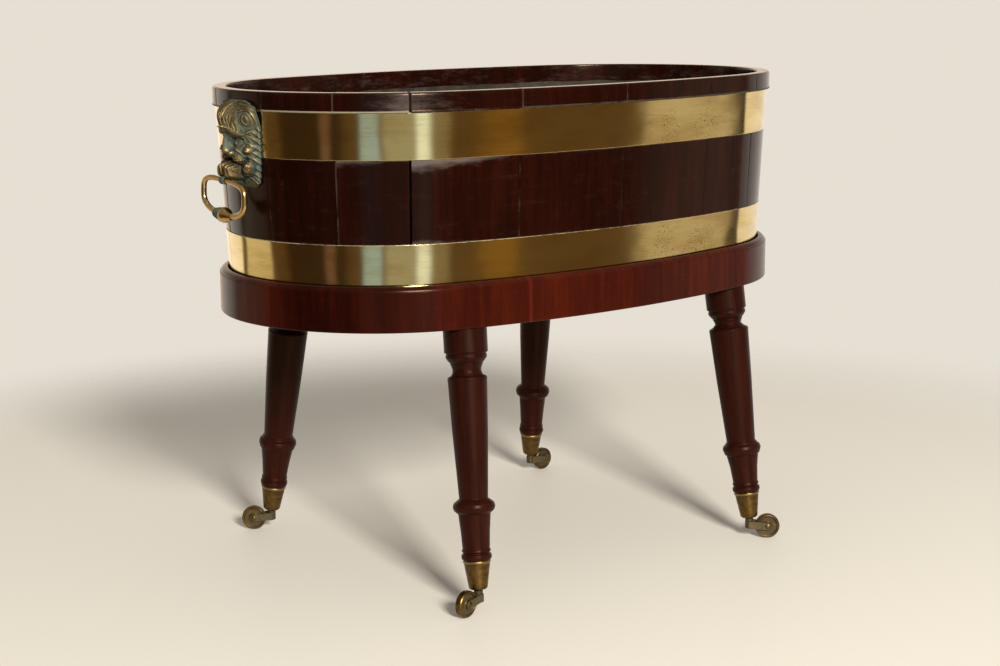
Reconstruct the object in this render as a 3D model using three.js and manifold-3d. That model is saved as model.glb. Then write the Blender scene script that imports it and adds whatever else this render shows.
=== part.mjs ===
// A cellarette: an oval mahogany tub, coopered from staves and bound with two let-in brass bands,
// standing in an oval frame on four turned, splayed legs with swivelling brass castors.
// A lion mask with a swinging ring handle is fixed to each end, and the tub is lined with lead.
// Millimetres, +Z up. The origin is on the floor under the middle. X runs the long way,
// and the front is towards -Y.

import * as THREE from "three";
import { mergeVertices } from "three/addons/utils/BufferGeometryUtils.js";
import Module from "manifold-3d";

// The stand's oval frame
const standLength = 680;
const standWidth = 395.6;
const endSweepDegrees = 155; // how far round each end its tighter arc runs
const undersideHeight = 288.1; // floor to the apron's lower edge
const apronFaceHeight = 40.6; // the flat face, up to its arris
const arrisStep = 0.8; // the moulding above the arris is set back by this
const mouldingRise = 5.1; // arris to the top of the lip
const lipWidth = 8.6; // thickness of the apron beside the tub
const lipHeight = 20.1; // ledge to the top of the lip
const railThickness = 26;
const jointReach = 34; // leg's centre to the joint between two rails, along the oval

// The corner blocks glued behind the rails
const blockDepth = 34;
const blockLength = 66;
const blockSetBack = 2; // block to the underside and to the ledge

// The legs
const legInset = 22.7; // apron's face to the leg's centre, at the underside
const splayAlong = 12.5; // how far the foot stands out from the top of the leg, along X
const splayAcross = 37.9; // and along Y
const legRadius = 22.1;
const tenonRadius = 11;
const tenonLength = 22;

// The castors
const wheelRadius = 13.9;
const wheelWidth = 7.6;
const wheelEdge = 0.9; // rounding of the tread
const hubRadius = 5.2;
const rimDepth = 3; // the wheel's outer ring, measured inwards
const dishDepth = 1.3; // hollow in each face of the wheel
const axleRadius = 2.1;
const axleHead = 1;
const stemRadius = 4.6;
const stemFoot = 11.2; // floor to the bottom of the fork's stem
const cheekThickness = 1.7;
const cheekRadius = 4.3; // round end of each cheek, about the axle
const yokeHeight = 8.6;
const wheelThroat = 2.1; // wheel to stem
const slotThroat = 1.5; // wheel to the floor of its slot in the fork
const cupLift = 10.2; // axle up to the bottom of the cup
const cupHeight = 27.2;
const cupTopRadius = 13.7;
const cupBottomRadius = 9.6;
const cupChamfer = 1.4;
const cupBead = 1.5; // height of the bead round the cup's mouth
const cupBeadProud = 0.5;
const cupWall = 1.6;
const cupFloor = 2.6;
const pintleRadius = 3;
const rivetRadius = 4.4;
const rivetThickness = 1.6;
const toeRoom = 6.6; // the cup's floor up to the end of the leg

// The tub
const tubHeight = 209; // base to rim
const tubFlare = 11.1; // how far the wall leans out from base to rim
const tubGap = 2; // lip to the lower band
const staveThickness = 12;
const bandHeight = 46;
const bandThickness = 2.4;
const bandProud = 0.5;
const rimHeight = 19.5; // upper band to the top of the rim
const rimProud = 3.2; // how far the rim stands out over the wall
const rimRounding = 1.8;
const lowerBandLift = 14.3; // base to the lower band
const crozeDepth = 4; // groove that holds the bottom boards
const boardCount = 3;
const boardThickness = 12;
const chimeHeight = 9; // staves below the groove
const linerThickness = 2.2;
const linerDrop = 19; // rim down to the top edge of the lead

// The lion masks
const maskHeight = 87.5;
const maskHalfWidth = 32;
const maskTopDrop = 9; // rim down to the top of the mask
const maskEdge = 1.8; // least thickness
const maskRelief = 24; // greatest height of the carving over the wall
const lugRadius = 5;
const lugWidth = 9;

// The ring handles
const ringWidth = 85.6;
const ringDrop = 37; // outside height of the ring
const ringTube = 2.4; // radius of the bar
const ringStandOff = 26.2; // wall to the ring's pivot
const ringPivotLift = 8.4; // bottom of the mask up to the pivot
const knotLength = 30;
const knotRadius = 8;

// Fits
const seatGap = 0.3; // between pieces that rest on or in each other
const runGap = 0.4; // between pieces that turn on each other
const seamGap = 0.3; // between staves
const openSeamGap = 1.8; // one seam that has shrunk open
const overrun = 5; // how far a cutter passes the piece that it cuts

// Places along the oval, as shares of its length, from the middle of the right end
// and round by the back
const legShare = 0.1427;
const seamShares = [
  0.03, 0.096, 0.159, 0.222, 0.2844, 0.3535, 0.412, 0.466, 0.5202, 0.5665, 0.6069, 0.6749,
  0.7498, 0.8248, 0.877, 0.926, 0.976,
];
const openSeam = 10; // which of the seams has opened

// The leg's turned outline: share of the way down to the cup, and share of legRadius
const legOutlineShares = [
  [0.1034, 0.977],
  [0.1055, 0.893],
  [0.111, 0.918],
  [0.1308, 0.907],
  [0.154, 0.7],
  [0.1808, 0.623],
  [0.202, 0.72],
  [0.209, 0.884],
  [0.2177, 0.884],
  [0.722, 0.651],
  [0.7284, 0.79],
  [0.743, 0.925],
  [0.7601, 0.947],
  [0.7784, 0.893],
  [0.7918, 0.726],
  [0.85, 0.645],
  [0.9478, 0.598],
  [0.9565, 0.633],
  [0.967, 0.6],
  [0.9735, 0.665],
];

// The knot on the ring: share of half its length, and share of its radius
const knotOutlineShares = [
  [-1, 0.36],
  [-0.9, 0.74],
  [-0.68, 0.74],
  [-0.6, 0.56],
  [-0.36, 0.92],
  [0, 1],
];
const ringTopRoundShare = 0.5; // powers of the ring's outline, lower is squarer
const ringFootRoundShare = 0.8;

// The mask's outline: share of its height from the bottom, and share of its half width
const maskOutlineShares = [
  [0, 0.42],
  [0.1, 0.7],
  [0.28, 0.9],
  [0.5, 1],
  [0.72, 0.97],
  [0.88, 0.84],
  [0.96, 0.62],
  [1, 0.34],
];

// Its carving: place across and up, size across and up, and height as a share of maskRelief
const maskFeatureShares = [
  [0, 0.45, 0.75, 0.5, 0.3], // the face's dome
  [0, 0.41, 0.36, 0.13, 0.34], // muzzle
  [0.2, 0.385, 0.16, 0.08, 0.14], // upper lip
  [0, 0.5, 0.15, 0.06, 0.24], // nose
  [0, 0.63, 0.13, 0.13, 0.22], // bridge
  [0.34, 0.72, 0.26, 0.05, 0.24], // brow
  [0.36, 0.61, 0.14, 0.06, -0.2], // socket
  [0.36, 0.61, 0.09, 0.03, 0.14], // eye
  [0.48, 0.5, 0.2, 0.1, 0.14], // cheek
  [0, 0.29, 0.3, 0.03, -0.36], // mouth
  [0, 0.21, 0.3, 0.08, 0.52], // chin and beard
  [0.66, 0.82, 0.2, 0.1, 0.24], // ear
  [0.66, 0.82, 0.09, 0.05, -0.16], // hollow of the ear
  [0, 0.88, 0.5, 0.14, 0.26], // hair on the brow
];
const maneShare = 0.06; // depth of the locks of the mane, of maskRelief
const maneLocks = 22;
const maneCentreShare = 0.45; // the locks spread from here
const hairlineShare = 0.75; // above this the locks are at their full depth
const maneSidePower = 4; // how late the locks begin on the way out to the sides
const edgeFallPower = 8; // how steeply the carving falls to the mask's sides
const endFallPower = 14; // and to its top and bottom

// Fineness of the facets
const endSteps = 8;
const sideSteps = 3;
const mouldingSteps = 3;
const legSides = 14;
const wheelSides = 14;
const pinSides = 8;
const cheekSteps = 4;
const ringSteps = 28;
const ringSides = 8;
const maskColumns = 18;
const maskRows = 24;

const wasm = await Module();
wasm.setup();

// The oval has four centres: two end arcs and two flatter side arcs that meet them smoothly.
const halfLength = standLength / 2;
const halfWidth = standWidth / 2;
const meetAngle = THREE.MathUtils.degToRad(endSweepDegrees / 2);
const endCentre =
  (halfLength - halfWidth) / (Math.tan(meetAngle) + 1 - 1 / Math.cos(meetAngle));
const endRadius = halfLength - endCentre;
const sideCentre = endCentre * Math.tan(meetAngle);
const sideRadius = sideCentre + halfWidth;
const endRun = endRadius * meetAngle;
const sideRun = sideRadius * (Math.PI / 2 - meetAngle);
const quarterRun = endRun + sideRun;
const ovalRun = quarterRun * 4;

// A point of the oval at a share of its length, moved outwards by an offset
function ovalPoint(share, offset, height) {
  const quarters = (share - Math.floor(share)) * 4;
  const quarter = Math.floor(quarters);
  const run = (quarters - quarter) * quarterRun;
  const fromEnd = quarter % 2 === 0 ? run : quarterRun - run;
  const onEnd = fromEnd <= endRun;
  const angle = onEnd ? fromEnd / endRadius : meetAngle + (fromEnd - endRun) / sideRadius;
  const radius = (onEnd ? endRadius : sideRadius) + offset;
  const x = (onEnd ? endCentre : 0) + radius * Math.cos(angle);
  const y = (onEnd ? 0 : -sideCentre) + radius * Math.sin(angle);
  const signX = quarter === 0 || quarter === 3 ? 1 : -1;
  const signY = quarter < 2 ? 1 : -1;
  return new THREE.Vector3(signX * x, signY * y, height);
}

// Heights and offsets that several pieces share
const arrisHeight = undersideHeight + apronFaceHeight;
const lipTop = arrisHeight + mouldingRise;
const ledgeHeight = lipTop - lipHeight;
const tubBase = ledgeHeight + seatGap;
const rimTop = tubBase + tubHeight;
const upperBandTop = rimTop - rimHeight;
const upperBandBase = upperBandTop - bandHeight;
const lowerBandBase = tubBase + lowerBandLift;
const lowerBandTop = lowerBandBase + bandHeight;
const boardBase = tubBase + chimeHeight;
const wallLean = tubFlare / tubHeight;
const wallOffset = (height) =>
  (height - lipTop) * wallLean - (lipWidth + tubGap + bandProud);
const rimOffset = wallOffset(upperBandTop) + rimProud;
const innerOffset = (height) => wallOffset(height) - staveThickness;

// The joints between the rails, and all the places where the oval is divided
const jointShares = [legShare, 0.5 - legShare, 0.5 + legShare, 1 - legShare].map(
  (share, corner) => share + ((corner % 2 ? -1 : 1) * jointReach) / ovalRun,
);
const stationShares = makeStations();

function makeStations() {
  const shares = [...seamShares, ...jointShares];
  for (let quarter = 0; quarter < 4; quarter++) {
    const place = (run) =>
      (quarter % 2 === 0 ? quarter * quarterRun + run : (quarter + 1) * quarterRun - run) /
      ovalRun;
    for (let i = 0; i < endSteps; i++) shares.push(place((endRun * i) / endSteps));
    for (let i = 0; i <= sideSteps; i++) {
      shares.push(place(endRun + (sideRun * i) / sideSteps));
    }
  }
  const closest = seamGap / ovalRun;
  const sorted = shares.map((share) => share % 1).sort((a, b) => a - b);
  return sorted.filter((share, i) => i === 0 || share - sorted[i - 1] > closest);
}

function stationsBetween(from, to) {
  const closest = seamGap / ovalRun;
  const turns = [-1, 0, 1].flatMap((turn) => stationShares.map((share) => share + turn));
  const inside = turns.filter((share) => share > from + closest && share < to - closest);
  return [from, ...inside, to];
}

// A closed geometry from its corners and faces, with its faces turned outwards
function closedGeometry(points, faces) {
  let volume = 0;
  for (let i = 0; i < faces.length; i += 3) {
    const [a, b, c] = [points[faces[i]], points[faces[i + 1]], points[faces[i + 2]]];
    volume += a.dot(b.clone().cross(c));
  }
  const geometry = new THREE.BufferGeometry().setFromPoints(points);
  geometry.setIndex(volume > 0 ? faces : [...faces].reverse());
  geometry.computeVertexNormals();
  return geometry;
}

// A skin over rings of equal count, round into itself or with its two ends closed
function skin(rings, endOutline) {
  const count = rings[0].length;
  const faces = [];
  const spans = endOutline ? rings.length - 1 : rings.length;
  for (let i = 0; i < spans; i++) {
    const near = i * count;
    const far = ((i + 1) % rings.length) * count;
    for (let j = 0; j < count; j++) {
      const next = (j + 1) % count;
      faces.push(near + j, far + j, far + next, near + j, far + next, near + next);
    }
  }
  if (endOutline) {
    const last = (rings.length - 1) * count;
    const ends = THREE.ShapeUtils.triangulateShape(endOutline, []);
    const areas = ends.map((face) => THREE.ShapeUtils.area(face.map((i) => endOutline[i])));
    const covered = areas.reduce((sum, area) => sum + area, 0);
    const sameWay = covered * THREE.ShapeUtils.area(endOutline) > 0;
    for (const face of ends) {
      const [a, b, c] = sameWay ? face : [...face].reverse();
      faces.push(a, b, c, last + c, last + b, last + a);
    }
  }
  return closedGeometry(rings.flat(), faces);
}

// An outline of offsets and heights carried along the oval, all the way round or part of it
function alongOval(outline, from, to) {
  const whole = to === undefined;
  const shares = whole ? stationShares : stationsBetween(from, to);
  const rings = shares.map((share) => outline.map((p) => ovalPoint(share, p.x, p.y)));
  return skin(rings, whole ? null : outline);
}

// Oval levels stacked on each other, closed across the first and the last
function stackedOvals(levels) {
  const rings = levels.map((level) => stationShares.map((s) => ovalPoint(s, level.x, level.y)));
  const count = stationShares.length;
  const points = rings.flat();
  const faces = [];
  for (let i = 0; i + 1 < rings.length; i++) {
    for (let j = 0; j < count; j++) {
      const next = (j + 1) % count;
      const [a, b] = [i * count, (i + 1) * count];
      faces.push(a + j, a + next, b + next, a + j, b + next, b + j);
    }
  }
  const first = points.push(new THREE.Vector3(0, 0, levels[0].y)) - 1;
  const last = points.push(new THREE.Vector3(0, 0, levels.at(-1).y)) - 1;
  const top = (rings.length - 1) * count;
  for (let j = 0; j < count; j++) {
    const next = (j + 1) % count;
    faces.push(first, next, j, last, top + j, top + next);
  }
  return closedGeometry(points, faces);
}

const flat = (...pairs) => pairs.map(([x, y]) => new THREE.Vector2(x, y));

// A turned piece about the Z axis, from radii and heights that start and end on the axis
function turned(pairs, sides) {
  return new THREE.LatheGeometry(flat(...pairs), sides).rotateX(Math.PI / 2);
}

function toSolid(geometry) {
  const bare = geometry.index ? geometry.toNonIndexed() : geometry.clone();
  bare.deleteAttribute("normal");
  bare.deleteAttribute("uv");
  const merged = mergeVertices(bare);
  const vertProperties = merged.attributes.position.array;
  const triVerts = new Uint32Array(merged.index.array);
  return new wasm.Manifold(new wasm.Mesh({ numProp: 3, vertProperties, triVerts }));
}

function toGeometry(solid) {
  const { vertProperties, triVerts } = solid.getMesh();
  const geometry = new THREE.BufferGeometry();
  geometry.setAttribute("position", new THREE.BufferAttribute(vertProperties, 3));
  geometry.setIndex(new THREE.BufferAttribute(triVerts, 1));
  geometry.computeVertexNormals();
  return geometry;
}

function cut(geometry, ...tools) {
  return toGeometry(tools.reduce((left, tool) => left.subtract(toSolid(tool)), toSolid(geometry)));
}

function join(geometry, ...others) {
  return toGeometry(others.reduce((whole, other) => whole.add(toSolid(other)), toSolid(geometry)));
}

function common(geometry, other) {
  return toGeometry(toSolid(geometry).intersect(toSolid(other)));
}

// Finishes: colour, roughness and metalness
const finishes = {
  tubMahogany: [0x3a120c, 0.28, 0],
  standMahogany: [0x5a1c12, 0.3, 0],
  hiddenWood: [0x8a6a45, 0.7, 0],
  bandBrass: [0xb08a3e, 0.25, 1],
  castorBrass: [0x7d6a3a, 0.42, 1],
  maskBronze: [0x6d6a4a, 0.5, 0.9],
  ringBrass: [0xb8823c, 0.3, 1],
  lead: [0x77796f, 0.6, 0.7],
};

function named(name, geometry, finish) {
  const [color, roughness, metalness] = finishes[finish];
  const material = new THREE.MeshStandardMaterial({ color, roughness, metalness });
  const mesh = new THREE.Mesh(geometry, material);
  mesh.name = name;
  return mesh;
}

const corners = [
  { name: "back_right", signX: 1, signY: 1, share: legShare, trailDegrees: 3 },
  { name: "back_left", signX: -1, signY: 1, share: 0.5 - legShare, trailDegrees: 141 },
  { name: "front_left", signX: -1, signY: -1, share: 0.5 + legShare, trailDegrees: 194 },
  { name: "front_right", signX: 1, signY: -1, share: 1 - legShare, trailDegrees: -39 },
];

// Where each leg's centre line starts and ends, and how it is turned
const trail = wheelRadius + wheelThroat + stemRadius;
const cupBase = wheelRadius + cupLift;
const legDrop = undersideHeight - cupBase;
const legRun = Math.hypot(legDrop, splayAlong, splayAcross);
const legTilt = Math.acos(legDrop / legRun);
const turnedRun = legRun - cupHeight;

function legPlacing(corner) {
  const top = ovalPoint(corner.share, -legInset, undersideHeight);
  const spread = new THREE.Vector3(
    corner.signX * splayAlong,
    corner.signY * splayAcross,
    -legDrop,
  );
  const placing = new THREE.Group();
  placing.position.copy(top);
  placing.quaternion.setFromUnitVectors(
    new THREE.Vector3(0, 0, -1),
    spread.clone().normalize(),
  );
  placing.updateMatrix();
  return { placing, foot: top.clone().add(spread) };
}

const inPlace = (geometry, placing) => geometry.clone().applyMatrix4(placing.matrix);
const outOfPlace = (geometry, placing) =>
  geometry.clone().applyMatrix4(placing.matrix.clone().invert());

// Along a leg's own Z axis: the tenon stands above the underside, the turning hangs below it.
function tenonTool(clearance) {
  const depth = tenonLength + clearance + overrun;
  return new THREE.CylinderGeometry(
    tenonRadius + clearance,
    tenonRadius + clearance,
    depth,
    legSides,
  )
    .rotateX(Math.PI / 2)
    .translate(0, 0, tenonLength + clearance - depth / 2);
}

function cupInnerRadius(rise) {
  const wallRise = (rise - cupFloor) / (cupHeight - cupFloor);
  return THREE.MathUtils.lerp(cupBottomRadius, cupTopRadius, wallRise) - cupWall;
}

function legGeometry(placing) {
  const toeEnd = cupFloor + toeRoom;
  const stock = turned(
    [
      [0, overrun + legRadius * Math.sin(legTilt)],
      [legRadius, overrun + legRadius * Math.sin(legTilt)],
      ...legOutlineShares.map(([down, across]) => [across * legRadius, -down * turnedRun]),
      [cupTopRadius + cupBeadProud, seatGap - turnedRun + cupBead / 2],
      [cupTopRadius, seatGap - turnedRun],
      [cupInnerRadius(cupHeight) - seatGap, seatGap - turnedRun],
      [cupInnerRadius(toeEnd) - seatGap, toeEnd - legRun],
      [0, toeEnd - legRun],
    ].reverse(),
    legSides,
  );
  const above = new THREE.BoxGeometry(standLength, standLength, standLength).translate(
    0,
    0,
    undersideHeight - seatGap + standLength / 2,
  );
  return join(cut(stock, outOfPlace(above, placing)), tenonTool(0));
}

function cupGeometry(placing, foot) {
  const base = -legRun;
  const bowl = turned(
    [
      [0, base],
      [cupBottomRadius - cupChamfer, base],
      [cupBottomRadius, base + cupChamfer],
      [cupTopRadius, base + cupHeight - cupBead],
      [cupTopRadius + cupBeadProud, base + cupHeight - cupBead / 2],
      [cupTopRadius, base + cupHeight],
      [cupInnerRadius(cupHeight), base + cupHeight],
      [cupInnerRadius(cupFloor), base + cupFloor],
      [0, base + cupFloor],
    ],
    legSides,
  );
  const holeRadius = pintleRadius + runGap;
  const hole = new THREE.CylinderGeometry(holeRadius, holeRadius, cupFloor + overrun, pinSides)
    .rotateX(Math.PI / 2)
    .translate(foot.x, foot.y, foot.z);
  return cut(bowl, outOfPlace(hole, placing));
}

// The fork: a stem that turns under the cup, a rivet through the cup's floor, and two cheeks
// that carry the wheel on its trail. Its own X axis points along the trail.
function forkGeometry() {
  const stemTop = cupBase - stemRadius * Math.tan(legTilt) - runGap;
  const rivetBase = cupBase + cupFloor / Math.cos(legTilt) + rivetRadius * Math.tan(legTilt);
  const stem = turned(
    [
      [0, stemFoot],
      [stemRadius, stemFoot],
      [stemRadius, stemTop],
      [pintleRadius, stemTop],
      [pintleRadius, rivetBase + runGap],
      [rivetRadius, rivetBase + runGap],
      [rivetRadius, rivetBase + runGap + rivetThickness],
      [0, rivetBase + runGap + rivetThickness],
    ],
    pinSides,
  );
  const forkWidth = wheelWidth + 2 * (runGap + cheekThickness);
  const side = new THREE.Shape();
  side.moveTo(0, stemFoot);
  side.lineTo(stemRadius, stemFoot);
  side.lineTo(trail, wheelRadius - cheekRadius);
  side.absarc(trail, wheelRadius, cheekRadius, -Math.PI / 2, Math.PI / 2);
  side.lineTo(stemRadius, stemFoot + yokeHeight);
  side.lineTo(0, stemFoot + yokeHeight);
  const yoke = new THREE.ExtrudeGeometry(side, {
    depth: forkWidth,
    bevelEnabled: false,
    curveSegments: cheekSteps,
  })
    .rotateX(Math.PI / 2)
    .translate(0, forkWidth / 2, 0);
  const slotRadius = wheelRadius + slotThroat;
  const slot = new THREE.CylinderGeometry(
    slotRadius,
    slotRadius,
    wheelWidth + 2 * runGap,
    wheelSides,
  ).translate(trail, 0, wheelRadius);
  const pinRadius = axleRadius + seatGap;
  const pinHole = new THREE.CylinderGeometry(
    pinRadius,
    pinRadius,
    forkWidth + overrun,
    pinSides,
  ).translate(trail, 0, wheelRadius);
  return join(cut(yoke, slot, pinHole), stem);
}

function axleGeometry() {
  const half = wheelWidth / 2 + runGap + cheekThickness + seatGap;
  return new THREE.LatheGeometry(
    flat(
      [0, -half - axleHead],
      [axleRadius + axleHead, -half - axleHead],
      [axleRadius + axleHead, -half],
      [axleRadius, -half],
      [axleRadius, half],
      [axleRadius + axleHead, half],
      [axleRadius + axleHead, half + axleHead],
      [0, half + axleHead],
    ),
    pinSides,
  ).translate(trail, 0, wheelRadius);
}

function wheelGeometry() {
  const half = wheelWidth / 2;
  const bore = axleRadius + runGap;
  const dish = half - dishDepth;
  return new THREE.LatheGeometry(
    flat(
      [bore, -half],
      [hubRadius, -half],
      [hubRadius, -dish],
      [wheelRadius - rimDepth, -dish],
      [wheelRadius - rimDepth, -half],
      [wheelRadius - wheelEdge, -half],
      [wheelRadius, wheelEdge - half],
      [wheelRadius, half - wheelEdge],
      [wheelRadius - wheelEdge, half],
      [wheelRadius - rimDepth, half],
      [wheelRadius - rimDepth, dish],
      [hubRadius, dish],
      [hubRadius, half],
      [bore, half],
      [bore, -half],
    ),
    wheelSides,
  ).translate(trail, 0, wheelRadius);
}

function cornerGroup(corner) {
  const { placing, foot } = legPlacing(corner);
  placing.add(named(`${corner.name}_leg`, legGeometry(placing), "standMahogany"));
  placing.add(named(`${corner.name}_castor_cup`, cupGeometry(placing, foot), "castorBrass"));
  const castor = new THREE.Group();
  castor.position.set(foot.x, foot.y, 0);
  castor.rotation.z = THREE.MathUtils.degToRad(corner.trailDegrees);
  castor.add(named(`${corner.name}_castor_fork`, forkGeometry(), "castorBrass"));
  castor.add(named(`${corner.name}_castor_axle`, axleGeometry(), "castorBrass"));
  castor.add(named(`${corner.name}_castor_wheel`, wheelGeometry(), "castorBrass"));
  return [placing, castor];
}

// The rails have a flat face, an arris, a rounded moulding up to the lip, and a ledge inside.
function railOutline() {
  const moulding = [];
  for (let i = 0; i <= mouldingSteps; i++) {
    const turn = ((Math.PI / 2) * i) / mouldingSteps;
    const inwards = arrisStep + (lipWidth - arrisStep) * (1 - Math.cos(turn));
    moulding.push([-inwards, arrisHeight + mouldingRise * Math.sin(turn)]);
  }
  return flat(
    [0, undersideHeight],
    [0, arrisHeight],
    ...moulding,
    [-lipWidth, ledgeHeight],
    [-railThickness, ledgeHeight],
    [-railThickness, undersideHeight],
  );
}

function standPieces(tenonHoles) {
  const [backRight, backLeft, frontLeft, frontRight] = jointShares;
  const half = seatGap / 2 / ovalRun;
  const rails = [
    ["back_rail", backRight, backLeft],
    ["left_end_rail", backLeft, frontLeft],
    ["front_rail", frontLeft, frontRight],
    ["right_end_rail", frontRight, backRight + 1],
  ];
  const pieces = rails.map(([name, from, to]) => {
    const rail = alongOval(railOutline(), from + half, to - half);
    return named(name, cut(rail, ...tenonHoles), "standMahogany");
  });
  const inside = -railThickness - seatGap;
  const opening = stackedOvals(
    flat([inside, undersideHeight + blockSetBack], [inside, ledgeHeight - blockSetBack]),
  );
  for (const corner of corners) {
    const face = ovalPoint(corner.share, inside, (undersideHeight + ledgeHeight) / 2);
    const inwards = face.clone().sub(ovalPoint(corner.share, 0, face.z));
    const sawn = new THREE.BoxGeometry(blockDepth * 2, blockLength, ledgeHeight - undersideHeight)
      .rotateZ(Math.atan2(inwards.y, inwards.x))
      .translate(...face);
    const block = cut(common(opening, sawn), ...tenonHoles);
    pieces.push(named(`${corner.name}_corner_block`, block, "hiddenWood"));
  }
  return pieces;
}

// A stave from the outside up, over the rim and down the inside, with its grooves
function staveOutline() {
  const groove = (low, high, side) => {
    const depth = bandThickness - bandProud + seatGap;
    const [base, top] = [low - seatGap / 2, high + seatGap / 2];
    return [
      [wallOffset(base), base],
      [wallOffset(base) - depth, base],
      [wallOffset(top) - depth, top],
      [side, top],
    ];
  };
  const boardTop = boardBase + boardThickness + seatGap;
  const boardUnder = boardBase - seatGap;
  return flat(
    [wallOffset(tubBase), tubBase],
    ...groove(lowerBandBase, lowerBandTop, wallOffset(lowerBandTop)),
    ...groove(upperBandBase, upperBandTop, rimOffset),
    [rimOffset, rimTop - rimRounding],
    [rimOffset - rimRounding, rimTop],
    [innerOffset(rimTop), rimTop],
    [innerOffset(boardTop), boardTop],
    [innerOffset(boardTop) + crozeDepth, boardTop],
    [innerOffset(boardUnder) + crozeDepth, boardUnder],
    [innerOffset(boardUnder), boardUnder],
    [innerOffset(tubBase), tubBase],
  );
}

function staves() {
  const outline = staveOutline();
  const gapAt = (seam) => (seam === openSeam ? openSeamGap : seamGap) / 2 / ovalRun;
  return seamShares.map((share, i) => {
    const next = (i + 1) % seamShares.length;
    const end = seamShares[next] + (next === 0 ? 1 : 0);
    const stave = alongOval(outline, share + gapAt(i), end - gapAt(next));
    return named(`stave_${String(i + 1).padStart(2, "0")}`, stave, "tubMahogany");
  });
}

function band(name, base) {
  const top = base + bandHeight;
  const outline = flat(
    [wallOffset(base) + bandProud, base],
    [wallOffset(top) + bandProud, top],
    [wallOffset(top) + bandProud - bandThickness, top],
    [wallOffset(base) + bandProud - bandThickness, base],
  );
  return named(name, alongOval(outline), "bandBrass");
}

function bottomBoards() {
  const edge = (height) => innerOffset(height) + crozeDepth - seatGap;
  const top = boardBase + boardThickness;
  const bottom = stackedOvals(flat([edge(boardBase), boardBase], [edge(boardBase), top]));
  const width = standWidth / boardCount;
  const pieces = [];
  for (let i = 0; i < boardCount; i++) {
    const middle = (i + 1 / 2) * width - standWidth / 2;
    const slab = new THREE.BoxGeometry(standLength, width - seatGap, boardThickness + overrun);
    slab.translate(0, middle, boardBase + boardThickness / 2);
    pieces.push(named(`bottom_board_${i + 1}`, common(bottom, slab), "hiddenWood"));
  }
  return pieces;
}

function liner() {
  const top = rimTop - linerDrop;
  const under = boardBase + boardThickness + seatGap * 2;
  const floor = under + linerThickness;
  const outer = (height) => innerOffset(height) - seatGap;
  const levels = flat(
    [outer(under), under],
    [outer(top), top],
    [outer(top) - linerThickness, top],
    [outer(floor) - linerThickness, floor],
  );
  return named("lead_liner", stackedOvals(levels), "lead");
}

// The carved front of a mask: its height over the wall, across from -1 to 1 and up from 0 to 1
function carving(across, up) {
  let rise = 0;
  for (const [x, y, width, height, share] of maskFeatureShares) {
    for (const side of x === 0 ? [1] : [-1, 1]) {
      const away = ((across - side * x) / width) ** 2 + ((up - y) / height) ** 2;
      rise += share * Math.exp(-away);
    }
  }
  const turn = Math.atan2(up - maneCentreShare, across);
  const above = 2 * Math.max(0, up - hairlineShare);
  const outwards = Math.min(1, Math.abs(across) ** maneSidePower + above);
  rise += maneShare * outwards * (1 + Math.cos(turn * maneLocks));
  const sideFall = Math.abs(across) ** edgeFallPower;
  const endFall = Math.abs(2 * up - 1) ** endFallPower;
  return maskEdge + maskRelief * rise * (1 - Math.max(sideFall, endFall));
}

const maskTop = rimTop - maskTopDrop;
const maskBottom = maskTop - maskHeight;
const pivotHeight = maskBottom + ringPivotLift;
const pivotReach = halfLength + wallOffset(pivotHeight) + ringStandOff;

// The tub's outside with the gap that a mask keeps to it, over the band and the rim
function tubOutside() {
  const step = upperBandTop - seatGap / 2;
  return stackedOvals(
    flat(
      [wallOffset(tubBase) + bandProud + seatGap, tubBase],
      [wallOffset(step) + bandProud + seatGap, step],
      [rimOffset + seatGap, step],
      [rimOffset + seatGap, rimTop],
    ),
  );
}

function maskGeometry(endShare) {
  const width = new THREE.SplineCurve(flat(...maskOutlineShares.map(([up, side]) => [side, up])));
  const ground = (height) => {
    const near = THREE.MathUtils.smoothstep(height, upperBandTop - rimHeight, upperBandTop);
    return THREE.MathUtils.lerp(wallOffset(height) + bandProud, rimOffset, near) + seatGap;
  };
  const at = (column, row, offset) => {
    const place = width.getPoint(row / maskRows);
    const across = (2 * column) / maskColumns - 1;
    const height = maskBottom + place.y * maskHeight;
    const aside = across * place.x * maskHalfWidth;
    const rise = offset ?? carving(across * place.x, place.y);
    return ovalPoint(endShare + aside / ovalRun, ground(height) + rise, height);
  };
  const points = [];
  const faces = [];
  const index = (column, row) => row * (maskColumns + 1) + column;
  for (let row = 0; row <= maskRows; row++) {
    for (let column = 0; column <= maskColumns; column++) points.push(at(column, row));
  }
  for (let row = 0; row < maskRows; row++) {
    for (let column = 0; column < maskColumns; column++) {
      const [a, b] = [index(column, row), index(column + 1, row)];
      const [c, d] = [index(column + 1, row + 1), index(column, row + 1)];
      faces.push(a, b, c, a, c, d);
    }
  }
  const border = [];
  for (let i = 0; i < maskColumns; i++) border.push([i, 0]);
  for (let i = 0; i < maskRows; i++) border.push([maskColumns, i]);
  for (let i = maskColumns; i > 0; i--) border.push([i, maskRows]);
  for (let i = maskRows; i > 0; i--) border.push([0, i]);
  const back = points.length;
  border.forEach(([column, row]) => points.push(at(column, row, -staveThickness / 2)));
  const middle = points.push(at(maskColumns / 2, maskRows / 2, -staveThickness)) - 1;
  border.forEach(([column, row], i) => {
    const next = (i + 1) % border.length;
    const [a, b] = [index(column, row), index(...border[next])];
    faces.push(b, a, back + i, b, back + i, back + next);
    faces.push(back + next, back + i, middle);
  });
  return closedGeometry(points, faces);
}

// The lug under the chin that the ring swings in
function lugGeometry(sign) {
  const barrel = new THREE.CylinderGeometry(lugRadius, lugRadius, lugWidth, pinSides);
  barrel.translate(sign * pivotReach, 0, pivotHeight);
  const web = new THREE.BoxGeometry(ringStandOff, lugWidth, lugRadius * 2);
  web.translate(sign * (pivotReach - ringStandOff / 2), 0, pivotHeight);
  return [barrel, web];
}

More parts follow.
